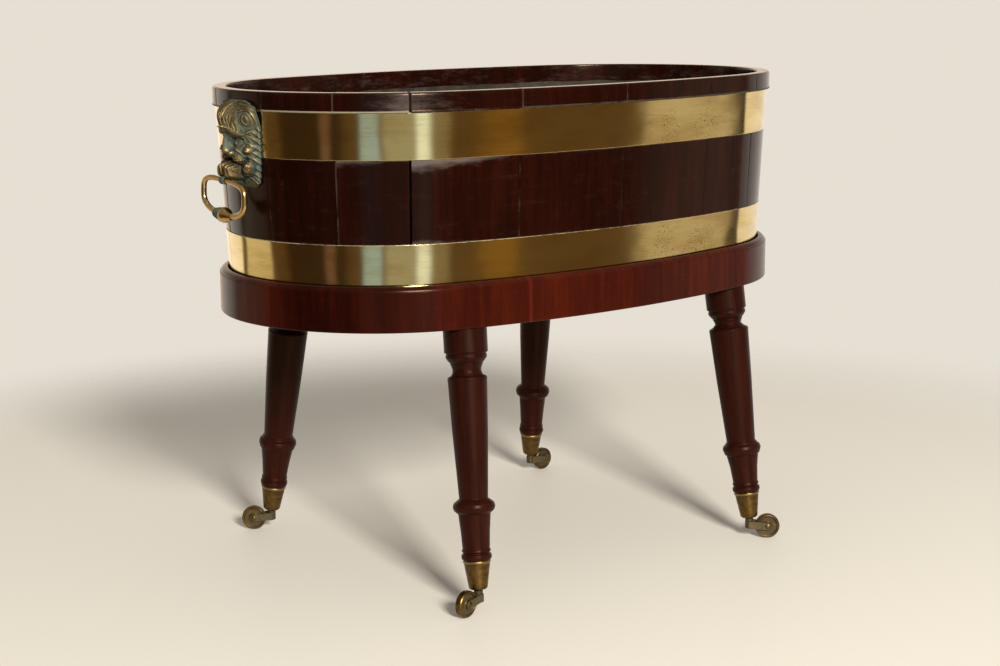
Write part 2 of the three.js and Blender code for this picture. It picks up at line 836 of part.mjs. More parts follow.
function mask(name, endShare, sign) {
  const boreRadius = (ringTube + runGap) / Math.cos(Math.PI / pinSides);
  const bore = new THREE.CylinderGeometry(boreRadius, boreRadius, lugWidth + overrun, pinSides);
  bore.translate(sign * pivotReach, 0, pivotHeight);
  const carved = join(maskGeometry(endShare), ...lugGeometry(sign));
  return named(name, cut(carved, tubOutside(), bore), "maskBronze");
}

// The ring hangs from its straight top bar, with a knot at the middle of its foot.
function ringHandle(name, sign) {
  const halfAcross = ringWidth / 2 - ringTube;
  const halfDown = ringDrop / 2 - ringTube;
  const signedPower = (value, power) => Math.sign(value) * Math.abs(value) ** power;
  const centreAt = (step) => {
    const turn = (step / ringSteps) * 2 * Math.PI;
    const power = Math.sin(turn) > 0 ? ringTopRoundShare : ringFootRoundShare;
    return new THREE.Vector2(
      halfAcross * signedPower(Math.cos(turn), power),
      halfDown * (signedPower(Math.sin(turn), power) - 1),
    );
  };
  const rings = [];
  for (let step = 0; step < ringSteps; step++) {
    const centre = centreAt(step);
    const along = centreAt(step + 1 / 2).sub(centreAt(step - 1 / 2)).normalize();
    const ring = [];
    for (let side = 0; side < ringSides; side++) {
      const turn = (side / ringSides) * 2 * Math.PI;
      const out = ringTube * Math.cos(turn);
      ring.push(
        new THREE.Vector3(
          ringTube * Math.sin(turn),
          centre.x - along.y * out,
          centre.y + along.x * out,
        ),
      );
    }
    rings.push(ring);
  }
  const halfKnot = knotLength / 2;
  const left = knotOutlineShares.map(([x, r]) => [r * knotRadius, x * halfKnot]);
  const right = knotOutlineShares.slice(0, -1).map(([x, r]) => [r * knotRadius, -x * halfKnot]);
  const outline = [[0, -halfKnot], ...left, ...right.reverse(), [0, halfKnot]];
  const knot = new THREE.LatheGeometry(flat(...outline), pinSides).translate(
    0,
    0,
    -2 * halfDown,
  );
  const ring = named(name, join(skin(rings), knot), "ringBrass");
  ring.position.set(sign * pivotReach, 0, pivotHeight);
  return ring;
}

const stand = new THREE.Group();
const tenonHoles = corners.map((corner) => inPlace(tenonTool(seatGap), legPlacing(corner).placing));
stand.add(...standPieces(tenonHoles), ...corners.flatMap(cornerGroup));

const tub = new THREE.Group();
tub.add(...staves(), band("lower_band", lowerBandBase), band("upper_band", upperBandBase));
tub.add(...bottomBoards(), liner());
tub.add(mask("left_lion_mask", 0.5, -1), mask("right_lion_mask", 0, 1));
tub.add(ringHandle("left_ring_handle", -1), ringHandle("right_ring_handle", 1));

const cellarette = new THREE.Group();
cellarette.add(stand, tub);

export default cellarette;
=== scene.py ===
import math

import bpy
import numpy as np
from mathutils import Matrix, Vector, noise


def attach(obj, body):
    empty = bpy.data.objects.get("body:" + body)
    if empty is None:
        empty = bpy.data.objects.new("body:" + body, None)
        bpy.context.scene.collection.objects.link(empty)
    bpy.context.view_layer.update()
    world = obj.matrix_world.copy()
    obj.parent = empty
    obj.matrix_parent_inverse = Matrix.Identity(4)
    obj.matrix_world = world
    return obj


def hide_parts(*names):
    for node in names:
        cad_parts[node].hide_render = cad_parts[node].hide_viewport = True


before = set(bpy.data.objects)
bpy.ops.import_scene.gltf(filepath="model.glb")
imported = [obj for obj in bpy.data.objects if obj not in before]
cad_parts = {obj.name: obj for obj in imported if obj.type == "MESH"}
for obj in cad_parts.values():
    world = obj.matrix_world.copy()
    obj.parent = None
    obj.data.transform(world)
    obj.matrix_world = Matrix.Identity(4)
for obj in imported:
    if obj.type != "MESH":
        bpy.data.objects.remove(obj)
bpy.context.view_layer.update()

perMetre = 1000  # millimetres
lying = Matrix.Rotation(math.pi / 2, 4, "X")  # stands a turned piece's axis along Y


# Shader maths: a wire is one output of a node, and sums on wires add Math nodes

class Wire:
    def __init__(self, owner, socket):
        self.owner = owner
        self.socket = socket

    def sum(self, operation, first, second):
        return self.owner.node("ShaderNodeMath", {"operation": operation}, {0: first, 1: second})

    def __add__(self, other):
        return self.sum("ADD", self, other)

    def __radd__(self, other):
        return self.sum("ADD", other, self)

    def __sub__(self, other):
        return self.sum("SUBTRACT", self, other)

    def __rsub__(self, other):
        return self.sum("SUBTRACT", other, self)

    def __mul__(self, other):
        return self.sum("MULTIPLY", self, other)


class NodeBench:
    def __init__(self, tree, shader):
        self.tree = tree
        self.shader = shader

    def node(self, kind, settings=None, inputs=None, output=0):
        made = self.tree.nodes.new(kind)
        for key, value in (settings or {}).items():
            if key == "stops":
                marks = made.color_ramp.elements
                for i, (position, colour) in enumerate(value):
                    mark = marks[i] if i < len(marks) else marks.new(position)
                    mark.position = position
                    mark.color = tone(colour)
            else:
                setattr(made, key, value)
        for key, value in (inputs or {}).items():
            if isinstance(value, Wire):
                self.tree.links.new(value.socket, made.inputs[key])
            else:
                made.inputs[key].default_value = value
        return Wire(self, made.outputs[output])

    def feed(self, **wires):
        for key, wire in wires.items():
            self.tree.links.new(wire.socket, self.shader.inputs[key.replace("_", " ")])

    def carried(self, name, output=1):
        # a value that the mesh carries on its points
        return self.node("ShaderNodeAttribute", {"attribute_name": name}, output=output)

    def cloud(self, vector, size, detail=3, roughness=0.55, bend=0):
        # the size is that of one feature along each of the three directions
        factor = tuple(1 / s for s in size)
        scaled = self.node("ShaderNodeVectorMath", {"operation": "MULTIPLY"}, {0: vector, 1: factor})
        inputs = {"Vector": scaled, "Scale": 1, "Detail": detail}
        inputs.update({"Roughness": roughness, "Distortion": bend})
        return self.node("ShaderNodeTexNoise", None, inputs)

    def between(self, value, low, high):
        # 0 under low, 1 over high, and smooth between them
        inputs = {"Value": value, "From Min": low, "From Max": high}
        return self.node("ShaderNodeMapRange", {"interpolation_type": "SMOOTHSTEP"}, inputs)

    def blend(self, share, under, over):
        # two colours, each a wire, three numbers with alpha, or written as text
        under, over = (tone(c) if isinstance(c, str) else c for c in (under, over))
        settings = {"data_type": "RGBA", "blend_type": "MIX"}
        return self.node("ShaderNodeMix", settings, {0: share, 6: under, 7: over}, output=2)

    def relief(self, height, depth, strength=1.0):
        inputs = {"Height": height, "Distance": depth, "Strength": strength}
        return self.node("ShaderNodeBump", None, inputs)


def tone(text):
    # a colour as it is written in a paint program, made linear
    parts = [int(text[i : i + 2], 16) / 255 for i in (0, 2, 4)]
    linear = [p / 12.92 if p <= 0.04045 else ((p + 0.055) / 1.055) ** 2.4 for p in parts]
    return (*linear, 1)


def newFinish(name, **fixed):
    material = bpy.data.materials.new(name)
    material.use_nodes = True
    bench = NodeBench(material.node_tree, material.node_tree.nodes["Principled BSDF"])
    bench.material = material
    for key, value in fixed.items():
        bench.shader.inputs[key.replace("_", " ")].default_value = value
    return bench


# Wood: streaks and pores along one axis, then rubs, a film that is partly painted sheen, and crust over
# the polish

def woodFinish(name, look, axis, carried=True):
    shine, varnish = look["shine"], tone(look["varnish"])
    bench = newFinish(name, IOR=1.5, Specular_IOR_Level=shine, Specular_Tint=varnish)
    place = bench.carried("place") if carried else bench.node("ShaderNodeTexCoord", output=3)
    shade, wear, hollow, haze = (bench.carried(key, 2) for key in ("shade", "wear", "hollow", "haze"))

    def grain(across, along, **rest):
        size = [across] * 3
        size[axis] = along
        return bench.cloud(place, size, **rest)

    broad = grain(0.05, 0.3, detail=3, bend=0.6)
    streak = grain(0.007, 0.12, detail=4, roughness=0.6, bend=0.3)
    fine = grain(0.0011, 0.03, detail=3, roughness=0.65)
    pores = grain(0.0003, 0.003, detail=2, roughness=0.5)
    figure = bench.between(broad * 0.55 + streak * 0.45, 0.32, 0.68)
    stops = [(0.0, look["dark"]), (0.5, look["mid"]), (1.0, look["light"])]
    colour = bench.node("ShaderNodeValToRGB", {"stops": stops}, {0: figure})
    flash = bench.between(grain(0.005, 0.25, detail=2), 0.7, 0.8)
    colour = bench.blend(flash * look["flash"], colour, look["flame"])
    lines = bench.between(fine, 0.38, 0.62)
    colour = bench.blend(lines * look["lineDepth"], colour, look["dark"])
    pored = bench.between(pores, 0.62, 0.74)
    colour = bench.blend(pored * look["pores"], colour, look["pore"])
    lit = {"Vector": colour, "Scale": 0.4 + shade * 0.6}
    colour = bench.node("ShaderNodeVectorMath", {"operation": "SCALE"}, lit)
    # hard use: pale rubs on the arrises, a bloom on the polish, and a few small dents
    rub = bench.between(grain(0.004, 0.012, detail=4) + wear * 0.5, 0.82, 1.05)
    colour = bench.blend(rub * look["rub"], colour, look["worn"])
    bloom = bench.cloud(place, (0.03, 0.009, 0.03), detail=6, roughness=0.75)
    # the haze value lays a pale film over the polish: partly a real film, partly painted sheen and
    # painted reflection
    filmAndSheen = bench.between(haze + bloom * 0.9, 0.85, 1.5)
    bloom = bench.between(bloom, 0.52, 0.85)
    colour = bench.blend(bloom * look["bloom"], colour, look["dust"])
    colour = bench.blend(filmAndSheen * look["filmAndSheen"], colour, look["haze"])
    # old polish and dirt left in the seams and against the brass
    ragged = bench.cloud(place, (0.0016, 0.0016, 0.0016), detail=4, roughness=0.7)
    patchy = bench.cloud(place, (0.02, 0.02, 0.02), detail=2)
    crust = bench.between(hollow + ragged * 0.7 + patchy * 0.9, 1.42, 1.8)
    filling = bench.blend(bench.between(hollow, 1.1, 1.3), look["crust"], look["paleCrust"])
    colour = bench.blend(crust * look["crustDepth"], colour, filling)
    nick = bench.between(bench.cloud(place, (0.003, 0.0016, 0.003), detail=2), 0.79, 0.82)
    rough = look["rough"] + bloom * 0.14 + filmAndSheen * 0.1 + lines * 0.04
    rough = rough + rub * 0.12 + nick * 0.2 + crust * 0.35
    bench.feed(Base_Color=colour, Roughness=rough)
    height = lines * -0.08 + pored * -0.2 + nick * -2.0 + broad * 1.5 + crust * 1.2
    bench.feed(Normal=bench.relief(height, 0.0001, look["relief"]))
    return bench


tubLook = {
    "dark": "180704", "mid": "200905", "light": "2c0e08", "flame": "3c140a", "flash": 0.35,
    "lineDepth": 0.15, "pore": "0a0302", "pores": 0.3, "worn": "5c3c2e", "rub": 0.4,
    "dust": "5e4a40", "bloom": 0.08, "haze": "8c7f78", "filmAndSheen": 0.33,
    "crust": "3b372c", "paleCrust": "8f866c", "crustDepth": 0.75,
    "shine": 0.15, "varnish": "ffd9b8", "rough": 0.14, "relief": 0.4,
}
standLook = {
    **tubLook, "dark": "300e07", "mid": "3e120a", "light": "4e190b", "flame": "7c3016",
    "flash": 0.5, "worn": "74422e", "lineDepth": 0.2, "bloom": 0.04, "shine": 0.11, "rough": 0.2,
}
legLook = {
    **tubLook, "dark": "1a0906", "mid": "270e08", "light": "36150d",
    "bloom": 0.0, "shine": 0.09, "rough": 0.34,
}
plainLook = {
    **tubLook, "dark": "5d4125", "mid": "836038", "light": "a27e50", "flame": "a27e50",
    "pore": "3a2816", "worn": "a98b62", "rough": 0.6, "shine": 0.3, "rub": 0.2,
}

tubMahogany = woodFinish("tubMahogany", tubLook, 1)
railMahogany = woodFinish("railMahogany", standLook, 1)
legMahogany = woodFinish("legMahogany", legLook, 2)
hiddenWood = woodFinish("hiddenWood", plainLook, 0, carried=False)


# Brass: bright metal, brown tarnish over it in clouds, and green in the hollows

def brassFinish(name, look):
    bench = newFinish(name, Metallic=1.0)
    place = bench.carried("place")
    hollow, wear, spoilt = (bench.carried(key, 2) for key in ("hollow", "wear", "haze"))
    size = look["cloud"]
    clouds = bench.cloud(place, (size * 1.6, size * 0.5, size * 0.5), detail=5, roughness=0.6)
    rubbed = bench.cloud(place, (0.03, 0.0009, 0.0009), detail=3, roughness=0.6)
    fine = bench.cloud(place, (0.004, 0.003, 0.004), detail=4, roughness=0.7)
    tarnish = bench.between(clouds * 0.75 + rubbed * 0.25, look["tarnishFrom"], look["tarnishTo"])
    colour = bench.blend(tarnish * look["tarnish"], look["bright"], look["brown"])
    pits = bench.between(bench.cloud(place, (0.0017, 0.0012, 0.0012), detail=1), 0.63, 0.68)
    where = bench.cloud(place, (0.05, 0.03, 0.03), detail=4, roughness=0.6)
    pits = pits * bench.between(where + spoilt * 0.6, 0.7, 0.86)
    stain = bench.between(where + rubbed * 0.3, 0.78, 0.98)
    colour = bench.blend(stain * look["stain"], colour, look["deep"])
    colour = bench.blend(pits * look["pits"], colour, look["deep"])
    colour = bench.blend(bench.between(wear, 0.2, 1.0) * look["rub"], colour, look["bare"])
    down = hollow + fine * 0.6 + where * 0.6
    down = bench.between(down, look["greenFrom"] + 0.35, look["greenTo"] + 0.35)
    colour = bench.blend(down, colour, look["green"])
    deepest = bench.between(hollow + fine * 0.3, 0.85, 1.15)
    colour = bench.blend(deepest * look["dirt"], colour, look["deep"])
    metal = 1 - down * look["dull"]
    rough = look["rough"] + tarnish * look["tarnish"] * 0.07 + rubbed * 0.05 + pits * 0.2 + down * 0.25
    bench.feed(Base_Color=colour, Roughness=rough, Metallic=metal)
    height = rubbed * 0.12 + fine * look["grit"] - pits * 0.8
    bench.feed(Normal=bench.relief(height, look["depth"], 0.5))
    return bench


bandLook = {
    "bright": "e4cd92", "brown": "b9924e", "deep": "4a3218", "bare": "efe3bd", "green": "857d66",
    "cloud": 0.05, "tarnish": 0.6, "tarnishFrom": 0.38, "tarnishTo": 0.68, "pits": 0.85,
    "stain": 0.3, "rub": 0.5, "grit": 0.1, "greenFrom": 0.95, "greenTo": 1.35, "dirt": 0.0,
    "dull": 0.9, "rough": 0.075, "depth": 0.00004,
}
castorLook = {
    **bandLook, "bright": "69522b", "brown": "403018", "deep": "1d170d", "bare": "a8935c",
    "green": "322f20", "cloud": 0.012, "tarnish": 1.0, "stain": 0.0, "grit": 0.8,
    "greenFrom": 0.6, "greenTo": 1.2, "dirt": 0.7, "dull": 0.8, "rough": 0.32, "depth": 0.0001,
}
maskLook = {
    **castorLook, "bright": "6f6040", "brown": "54462b", "bare": "9a8654", "green": "474f3d",
    "deep": "102528", "rub": 0.6, "greenFrom": 0.22, "greenTo": 0.95, "dirt": 0.9, "rough": 0.44,
}
ringLook = {
    **castorLook, "bright": "bd9a60", "brown": "8b6c3c", "bare": "dcc38e", "green": "565b47",
    "deep": "1f2a22", "grit": 0.3, "rough": 0.22, "tarnishFrom": 0.45, "tarnishTo": 0.75,
}
bandBrass = brassFinish("bandBrass", bandLook)
castorBrass = brassFinish("castorBrass", castorLook)
maskBronze = brassFinish("maskBronze", maskLook)
ringBrass = brassFinish("ringBrass", ringLook)


def leadFinish():
    bench = newFinish("leadSheet", Metallic=0.1, Specular_IOR_Level=0.2)
    clouds = bench.cloud(bench.carried("place"), (0.03, 0.02, 0.03), detail=6, roughness=0.7)
    stops = [(0.3, "1d1912"), (0.5, "2f291d"), (0.7, "434336")]
    colour = bench.node("ShaderNodeValToRGB", {"stops": stops}, {0: clouds})
    bench.feed(Base_Color=colour, Roughness=0.5 + clouds * 0.3)
    bench.feed(Normal=bench.relief(clouds, 0.0006, 0.7))
    return bench


leadSheet = leadFinish()
print("finishes made")


# Pieces from points and faces, with the values that their finishes read

def newShape():
    return {key: [] for key in ("points", "faces", "place", "wear", "hollow")}


def addPoint(shape, point, place, wear=0.0, hollow=0.0):
    for key, value in (("points", point), ("place", place), ("wear", wear), ("hollow", hollow)):
        shape[key].append(value)


def skinned(shape, starts, size, closed=False):
    # faces between rings of points, each known by its first point, and over the ends of an open row
    for near, far in zip(starts, starts[1:] + (starts[:1] if closed else [])):
        for j in range(size):
            k = (j + 1) % size
            shape["faces"].append((near + j, near + k, far + k, far + j))
    if not closed:
        shape["faces"].append(tuple(starts[0] + j for j in reversed(range(size))))
        shape["faces"].append(tuple(starts[-1] + j for j in range(size)))
    return shape


def outwards(shape):
    # faces whose volume comes out negative look inwards, and are turned over
    points, total = shape["points"], 0.0
    for face in shape["faces"]:
        a = Vector(points[face[0]])
        for i in range(1, len(face) - 1):
            total += a.dot(Vector(points[face[i]]).cross(Vector(points[face[i + 1]])))
    if total < 0:
        return [tuple(reversed(face)) for face in shape["faces"]]
    return shape["faces"]


def joined(*shapes):
    whole = newShape()
    for shape in shapes:
        start = len(whole["points"])
        whole["faces"] += [tuple(start + i for i in face) for face in outwards(shape)]
        for key in ("points", "place", "wear", "hollow"):
            whole[key] += shape[key]
    return whole


def placed(shape, matrix):
    shape["points"] = [matrix @ Vector(p) for p in shape["points"]]
    return shape


def newObject(name, content):
    made = bpy.data.objects.new(name, content)
    bpy.context.scene.collection.objects.link(made)
    return made


def newPiece(node, ending, shape, body, finish, shade=0.5, sharp=38):
    name = f"{node}_{ending}"
    mesh = bpy.data.meshes.new(name)
    mesh.from_pydata([tuple(p) for p in shape["points"]], [], outwards(shape))
    place = mesh.attributes.new("place", "FLOAT_VECTOR", "POINT")
    place.data.foreach_set("vector", np.array(shape["place"], np.float32).ravel())
    for key, spare in (("wear", 0.0), ("hollow", 0.0), ("haze", 0.0), ("shade", shade)):
        values = np.array(shape.get(key, [spare] * len(shape["points"])), np.float32)
        mesh.attributes.new(key, "FLOAT", "POINT").data.foreach_set("value", values)
    mesh.materials.append(finish.material)
    mesh.shade_smooth()
    mesh.set_sharp_from_angle(angle=math.radians(sharp))
    mesh.update()
    piece = newObject(name, mesh)
    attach(piece, body)
    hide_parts(node)


# Outlines: rows of an offset or radius, a height, and the radius or the wear of the corner

def softened(rows, steps=4):
    # corners with a radius are rounded, and their third number becomes the wear there
    outline = []
    for i, (x, y, radius) in enumerate(rows):
        here = Vector((x, y))
        if not radius:
            outline.append((x, y, 0.0))
            continue
        before = Vector(rows[i - 1][:2]) - here
        after = Vector(rows[(i + 1) % len(rows)][:2]) - here
        half = before.angle(after) / 2
        reach = min(radius / math.tan(half), before.length * 0.45, after.length * 0.45)
        start = here + before.normalized() * reach
        end = here + after.normalized() * reach
        for arm in (before, after):
            arm.magnitude = min(reach + 0.0016, (reach + arm.length / 2) / 2)
        outline.append((here.x + before.x, here.y + before.y, 0.0))
        for k in range(steps + 1):
            t = k / steps
            p = start * (1 - t) ** 2 + here * (2 * t * (1 - t)) + end * t**2
            outline.append((p.x, p.y, 0.35))
        outline.append((here.x + after.x, here.y + after.y, 0.0))
    return outline


def mirrored(side, steps=4):
    # both faces of a wheel or a pin from the outline of one
    return softened(side + [(r, -z, soft) for r, z, soft in reversed(side)], steps)


def midway(a, b, part, whole=1):
    # a row between two others
    return a[0] + (b[0] - a[0]) * part / whole, a[1] + (b[1] - a[1]) * part / whole, 0.0


def withRows(outline, height, parts, whole=1):
    # rows added on the straight run that passes the given height
    turn = next(i for i in range(len(outline)) if outline[i][1] < height < outline[i + 1][1])
    rows = [midway(outline[turn], outline[turn + 1], part, whole) for part in parts]
    return outline[: turn + 1] + rows + outline[turn + 1 :]


def narrowed(outline, amount):
    # the outline moved inwards, for the rounded ends of a piece
    if not amount:
        return outline
    nexts = outline[1:] + outline[:1]
    area = sum(a[0] * b[1] - b[0] * a[1] for a, b in zip(outline, nexts))
    moved = []
    for i, (x, y, mark) in enumerate(outline):
        before, after = outline[i - 1], nexts[i]
        first = Vector((x - before[0], y - before[1]))
        second = Vector((after[0] - x, after[1] - y))
        along = first.normalized() + second.normalized()
        inwards = Vector((-along.y, along.x)).normalized() * (1 if area > 0 else -1)
        moved.append((x + inwards.x * amount, y + inwards.y * amount, mark))
    return moved


def turned(outline, sides, closed=False):
    # an outline turned about the Z axis; a closed one returns to its start, as a wheel's does
    shape = newShape()
    for radius, height, *mark in outline:
        for j in range(sides):
            angle = 2 * math.pi * j / sides
            p = Vector((radius * math.cos(angle), radius * math.sin(angle), height))
            addPoint(shape, p, tuple(p))
    return skinned(shape, [i * sides for i in range(len(outline))], sides, closed)


def slab(side, low, high, ease):
    # a flat plate cut to an outline in X and Z, with its edges eased
    shape = newShape()
    step = 1 if high > low else -1
    for y, inset in ((low, ease), (low + step * ease, 0), (high - step * ease, 0), (high, ease)):
        for x, z, mark in narrowed([(x, z, 0.0) for x, z in side], inset):
            addPoint(shape, Vector((x, y, z)), (x, y, z), 0.6 if inset else 0.2)
    return skinned(shape, [i * len(side) for i in range(4)], len(side))


# The oval that the stand and the tub share

ovalSizes = {"halfLength": 0.340, "halfWidth": 0.1978, "endSweep": 155}
sweepAngle = math.radians(ovalSizes["endSweep"] / 2)
endCentre = (ovalSizes["halfLength"] - ovalSizes["halfWidth"]) / (
    math.tan(sweepAngle) + 1 - 1 / math.cos(sweepAngle)
)
endRadius = ovalSizes["halfLength"] - endCentre
sideCentre = endCentre * math.tan(sweepAngle)
sideRadius = sideCentre + ovalSizes["halfWidth"]
endRun = endRadius * sweepAngle
quarterRun = endRun + sideRadius * (math.pi / 2 - sweepAngle)
ovalRun = 4 * quarterRun


def ovalAt(share, offset, height):
    quarters = (share % 1) * 4
    quarter = int(quarters)
    run = (quarters - quarter) * quarterRun
    fromEnd = run if quarter % 2 == 0 else quarterRun - run
    if fromEnd <= endRun:
        angle, x, y, radius = fromEnd / endRadius, endCentre, 0, endRadius
    else:
        angle = sweepAngle + (fromEnd - endRun) / sideRadius
        x, y, radius = 0, -sideCentre, sideRadius
    x += (radius + offset) * math.cos(angle)
    y += (radius + offset) * math.sin(angle)
    return Vector((x if quarter in (0, 3) else -x, y if quarter < 2 else -y, height))


def alongOval(outline, start=None, end=None, spacing=0.003, ease=0.0, swell=None, dirt=None):
    # an outline of offsets and heights carried round the oval, or along a part of it
    whole = start is None
    length = ovalRun if whole else (end - start) * ovalRun
    count = max(2, round(length / spacing))
    stops = [(i / count, 0.0) for i in range(count + (0 if whole else 1))]
    if ease and not whole:
        # the ends are rounded, with close rows beside them for the dirt in the joints
        turns = [math.pi / 2 * k / 3 for k in range(3)]
        head = [(ease * (1 - math.cos(t)) / length, ease * (1 - math.sin(t))) for t in turns]
        strip = [(at / length, 0.0) for at in (ease, 0.00055, 0.0008)]
        middle = [s for s in stops if 0.0016 < s[0] * length < length - 0.0016]
        stops = head + strip + middle + [(1 - at, inset) for at, inset in reversed(strip)]
        stops += [(1 - s, inset) for s, inset in reversed(head)]
    shape = newShape()
    rings, size = len(stops), len(outline)
    for share, inset in stops:
        at = share if whole else start + share * (end - start)
        for x, y, mark in narrowed(outline, inset):
            out = swell(share, at, x, y) if swell else 0.0
            deep = dirt(share, x, y) if dirt else 0.0
            addPoint(shape, ovalAt(at, x + out, y), (at * ovalRun, y, x), mark, deep)
    for i in range(rings if whole else rings - 1):
        near, far = i * size, (i + 1) % rings * size
        for j in range(size):
            k = (j + 1) % size
            shape["faces"].append((near + j, far + j, far + k, near + k))
    if not whole:
        last = (rings - 1) * size
        shape["faces"].append(tuple(range(size)))
        shape["faces"].append(tuple(last + j for j in reversed(range(size))))
    return shape


def bell(value, middle, reach, power=2):
    return math.exp(-(((value - middle) / reach) ** power))


def ripple(x, y, z):
    return noise.noise(Vector((x, y, z)))


# The apron: a flat face, an arris, a small moulding up to the lip, and a ledge inside

railSizes = {
    "underside": 0.2881, "arris": 0.3287, "step": 0.0008, "lip": 0.3338, "lipWidth": 0.0086,
    "ledge": 0.3137, "thickness": 0.026, "jointReach": 0.034, "jointGap": 0.00002,
    "legShare": 0.1427, "darkAt": 0.56, "gleamAt": 0.516, "paleLine": 0.6812,
}


def apronShade(share):
    # the apron is darkest round its left front, and one pale line crosses its middle
    s = railSizes
    shade = 0.5 - 0.62 * bell(share, s["darkAt"], 0.03 if share < s["darkAt"] else 0.04, 4)
    shade += 0.3 * bell(share, s["gleamAt"], 0.009)
    shade += 0.25 * ripple(share * 22, 0.3, 2.2)
    return shade + 1.5 * bell(share, s["paleLine"], 0.0009)


def makeRails():
    s = railSizes
    rows = [(0, s["underside"], 0.0013), (0, s["arris"], 0.0007)]
    for i in range(9):
        turn = math.pi / 2 * i / 8
        inwards = s["step"] + (s["lipWidth"] - s["step"]) * (1 - math.cos(turn))
        height = s["arris"] + (s["lip"] - s["arris"]) * math.sin(turn)
        rows.append((-inwards, height, 0.0006 if i == 8 else 0.0))
    rows += [(-s["lipWidth"], s["ledge"], 0), (-s["thickness"], s["ledge"], 0.001)]
    outline = softened(rows + [(-s["thickness"], s["underside"], 0.0015)])
    leg, turn = s["legShare"], s["jointReach"] / ovalRun
    joints = [leg + turn, 0.5 - leg - turn, 0.5 + leg + turn, 1 - leg - turn]
    gap = s["jointGap"] / 2 / ovalRun

    def uneven(share, at, x, y):
        near = ripple(at % 1 * 40, y * 20, 3.1)
        return 0.00018 * near if x > -0.002 else 0.0

    for i, name in enumerate(("back_rail", "left_end_rail", "front_rail", "right_end_rail")):
        end = joints[(i + 1) % 4] + (1 if i == 3 else 0)
        rail = alongOval(outline, joints[i] + gap, end - gap, 0.0018, 0.0, uneven)
        rail["shade"] = [apronShade(run / ovalRun % 1) for run, height, out in rail["place"]]
        newPiece(name, "polished", rail, "stand", railMahogany)


def dressHiddenWood():
    # the blocks behind the rails and the boards under the lead stay as they are
    for name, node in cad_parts.items():
        if name.endswith("corner_block") or name.startswith("bottom_board"):
            for slot in node.material_slots:
                slot.material = hiddenWood.material


# The tub: staves with their rebates and rim, two bands let in, and the lead inside

tubSizes = {
    "base": 0.3140, "rim": 0.5230, "lipTop": 0.3338, "lean": 0.0111 / 0.209, "setBack": 0.0111,
    "thickness": 0.012, "rimProud": 0.0032, "bandHeight": 0.046, "bandThickness": 0.0024,
    "bandProud": 0.0005, "lowerBand": 0.3283, "upperBand": 0.4575, "rebateSlack": 0.00015,
    "groove": 0.004, "boardUnder": 0.3227, "boardTop": 0.3353,
    "openSeam": 10, "openGap": 0.0025, "seamGap": 0.0003,
    "seams": [
        0.03, 0.096, 0.159, 0.222, 0.2844, 0.3535, 0.412, 0.466, 0.5202, 0.5665, 0.6088,
        0.6764, 0.7507, 0.8248, 0.877, 0.926, 0.976,
    ],
    "seamDirt": [0.3, 0.5, 0.2, 0.7, 0.3, 0.5, 0.6, 0.2, 0.75, 1.05, 0.0, 0.85, 0.8, 0.6, 0.4, 0.6, 0.3],
    "shades": [0.5, 0.42, 0.58, 0.47, 0.55, 0.44, 0.52, 0.48, 0.36, 0.42, 0.46, 0.44, 0.5, 0.46, 0.5],
    "rows": [0.03, 0.07, 0.13, 0.21, 0.32, 0.44, 0.56, 0.68, 0.79, 0.87, 0.93, 0.97],
    # what single staves have: crust under the lip, pale film with painted sheen under the upper band,
    # painted reflections along the rim, and film with painted sheen inside
    "lipDirt": {8: 1.5, 9: 1.32, 10: 0.7},
    "bandFilmAndSheen": {10: 1.4, 9: 0.85},
    "rimPaintedReflection": {9: (0.2, 0.74), 10: (0.64, 0.12)},
    "innerFilmAndSheen": 0.44,
    # where the bands are pitted, and how far round
    "spoilt": [(0.822, 0.015), (0.788, 0.010), (0.12, 0.02), (0.33, 0.015)],
}


def wall(height):
    s = tubSizes
    return (height - s["lipTop"]) * s["lean"] - s["setBack"]


rimOffset = wall(tubSizes["upperBand"] + tubSizes["bandHeight"]) + tubSizes["rimProud"]


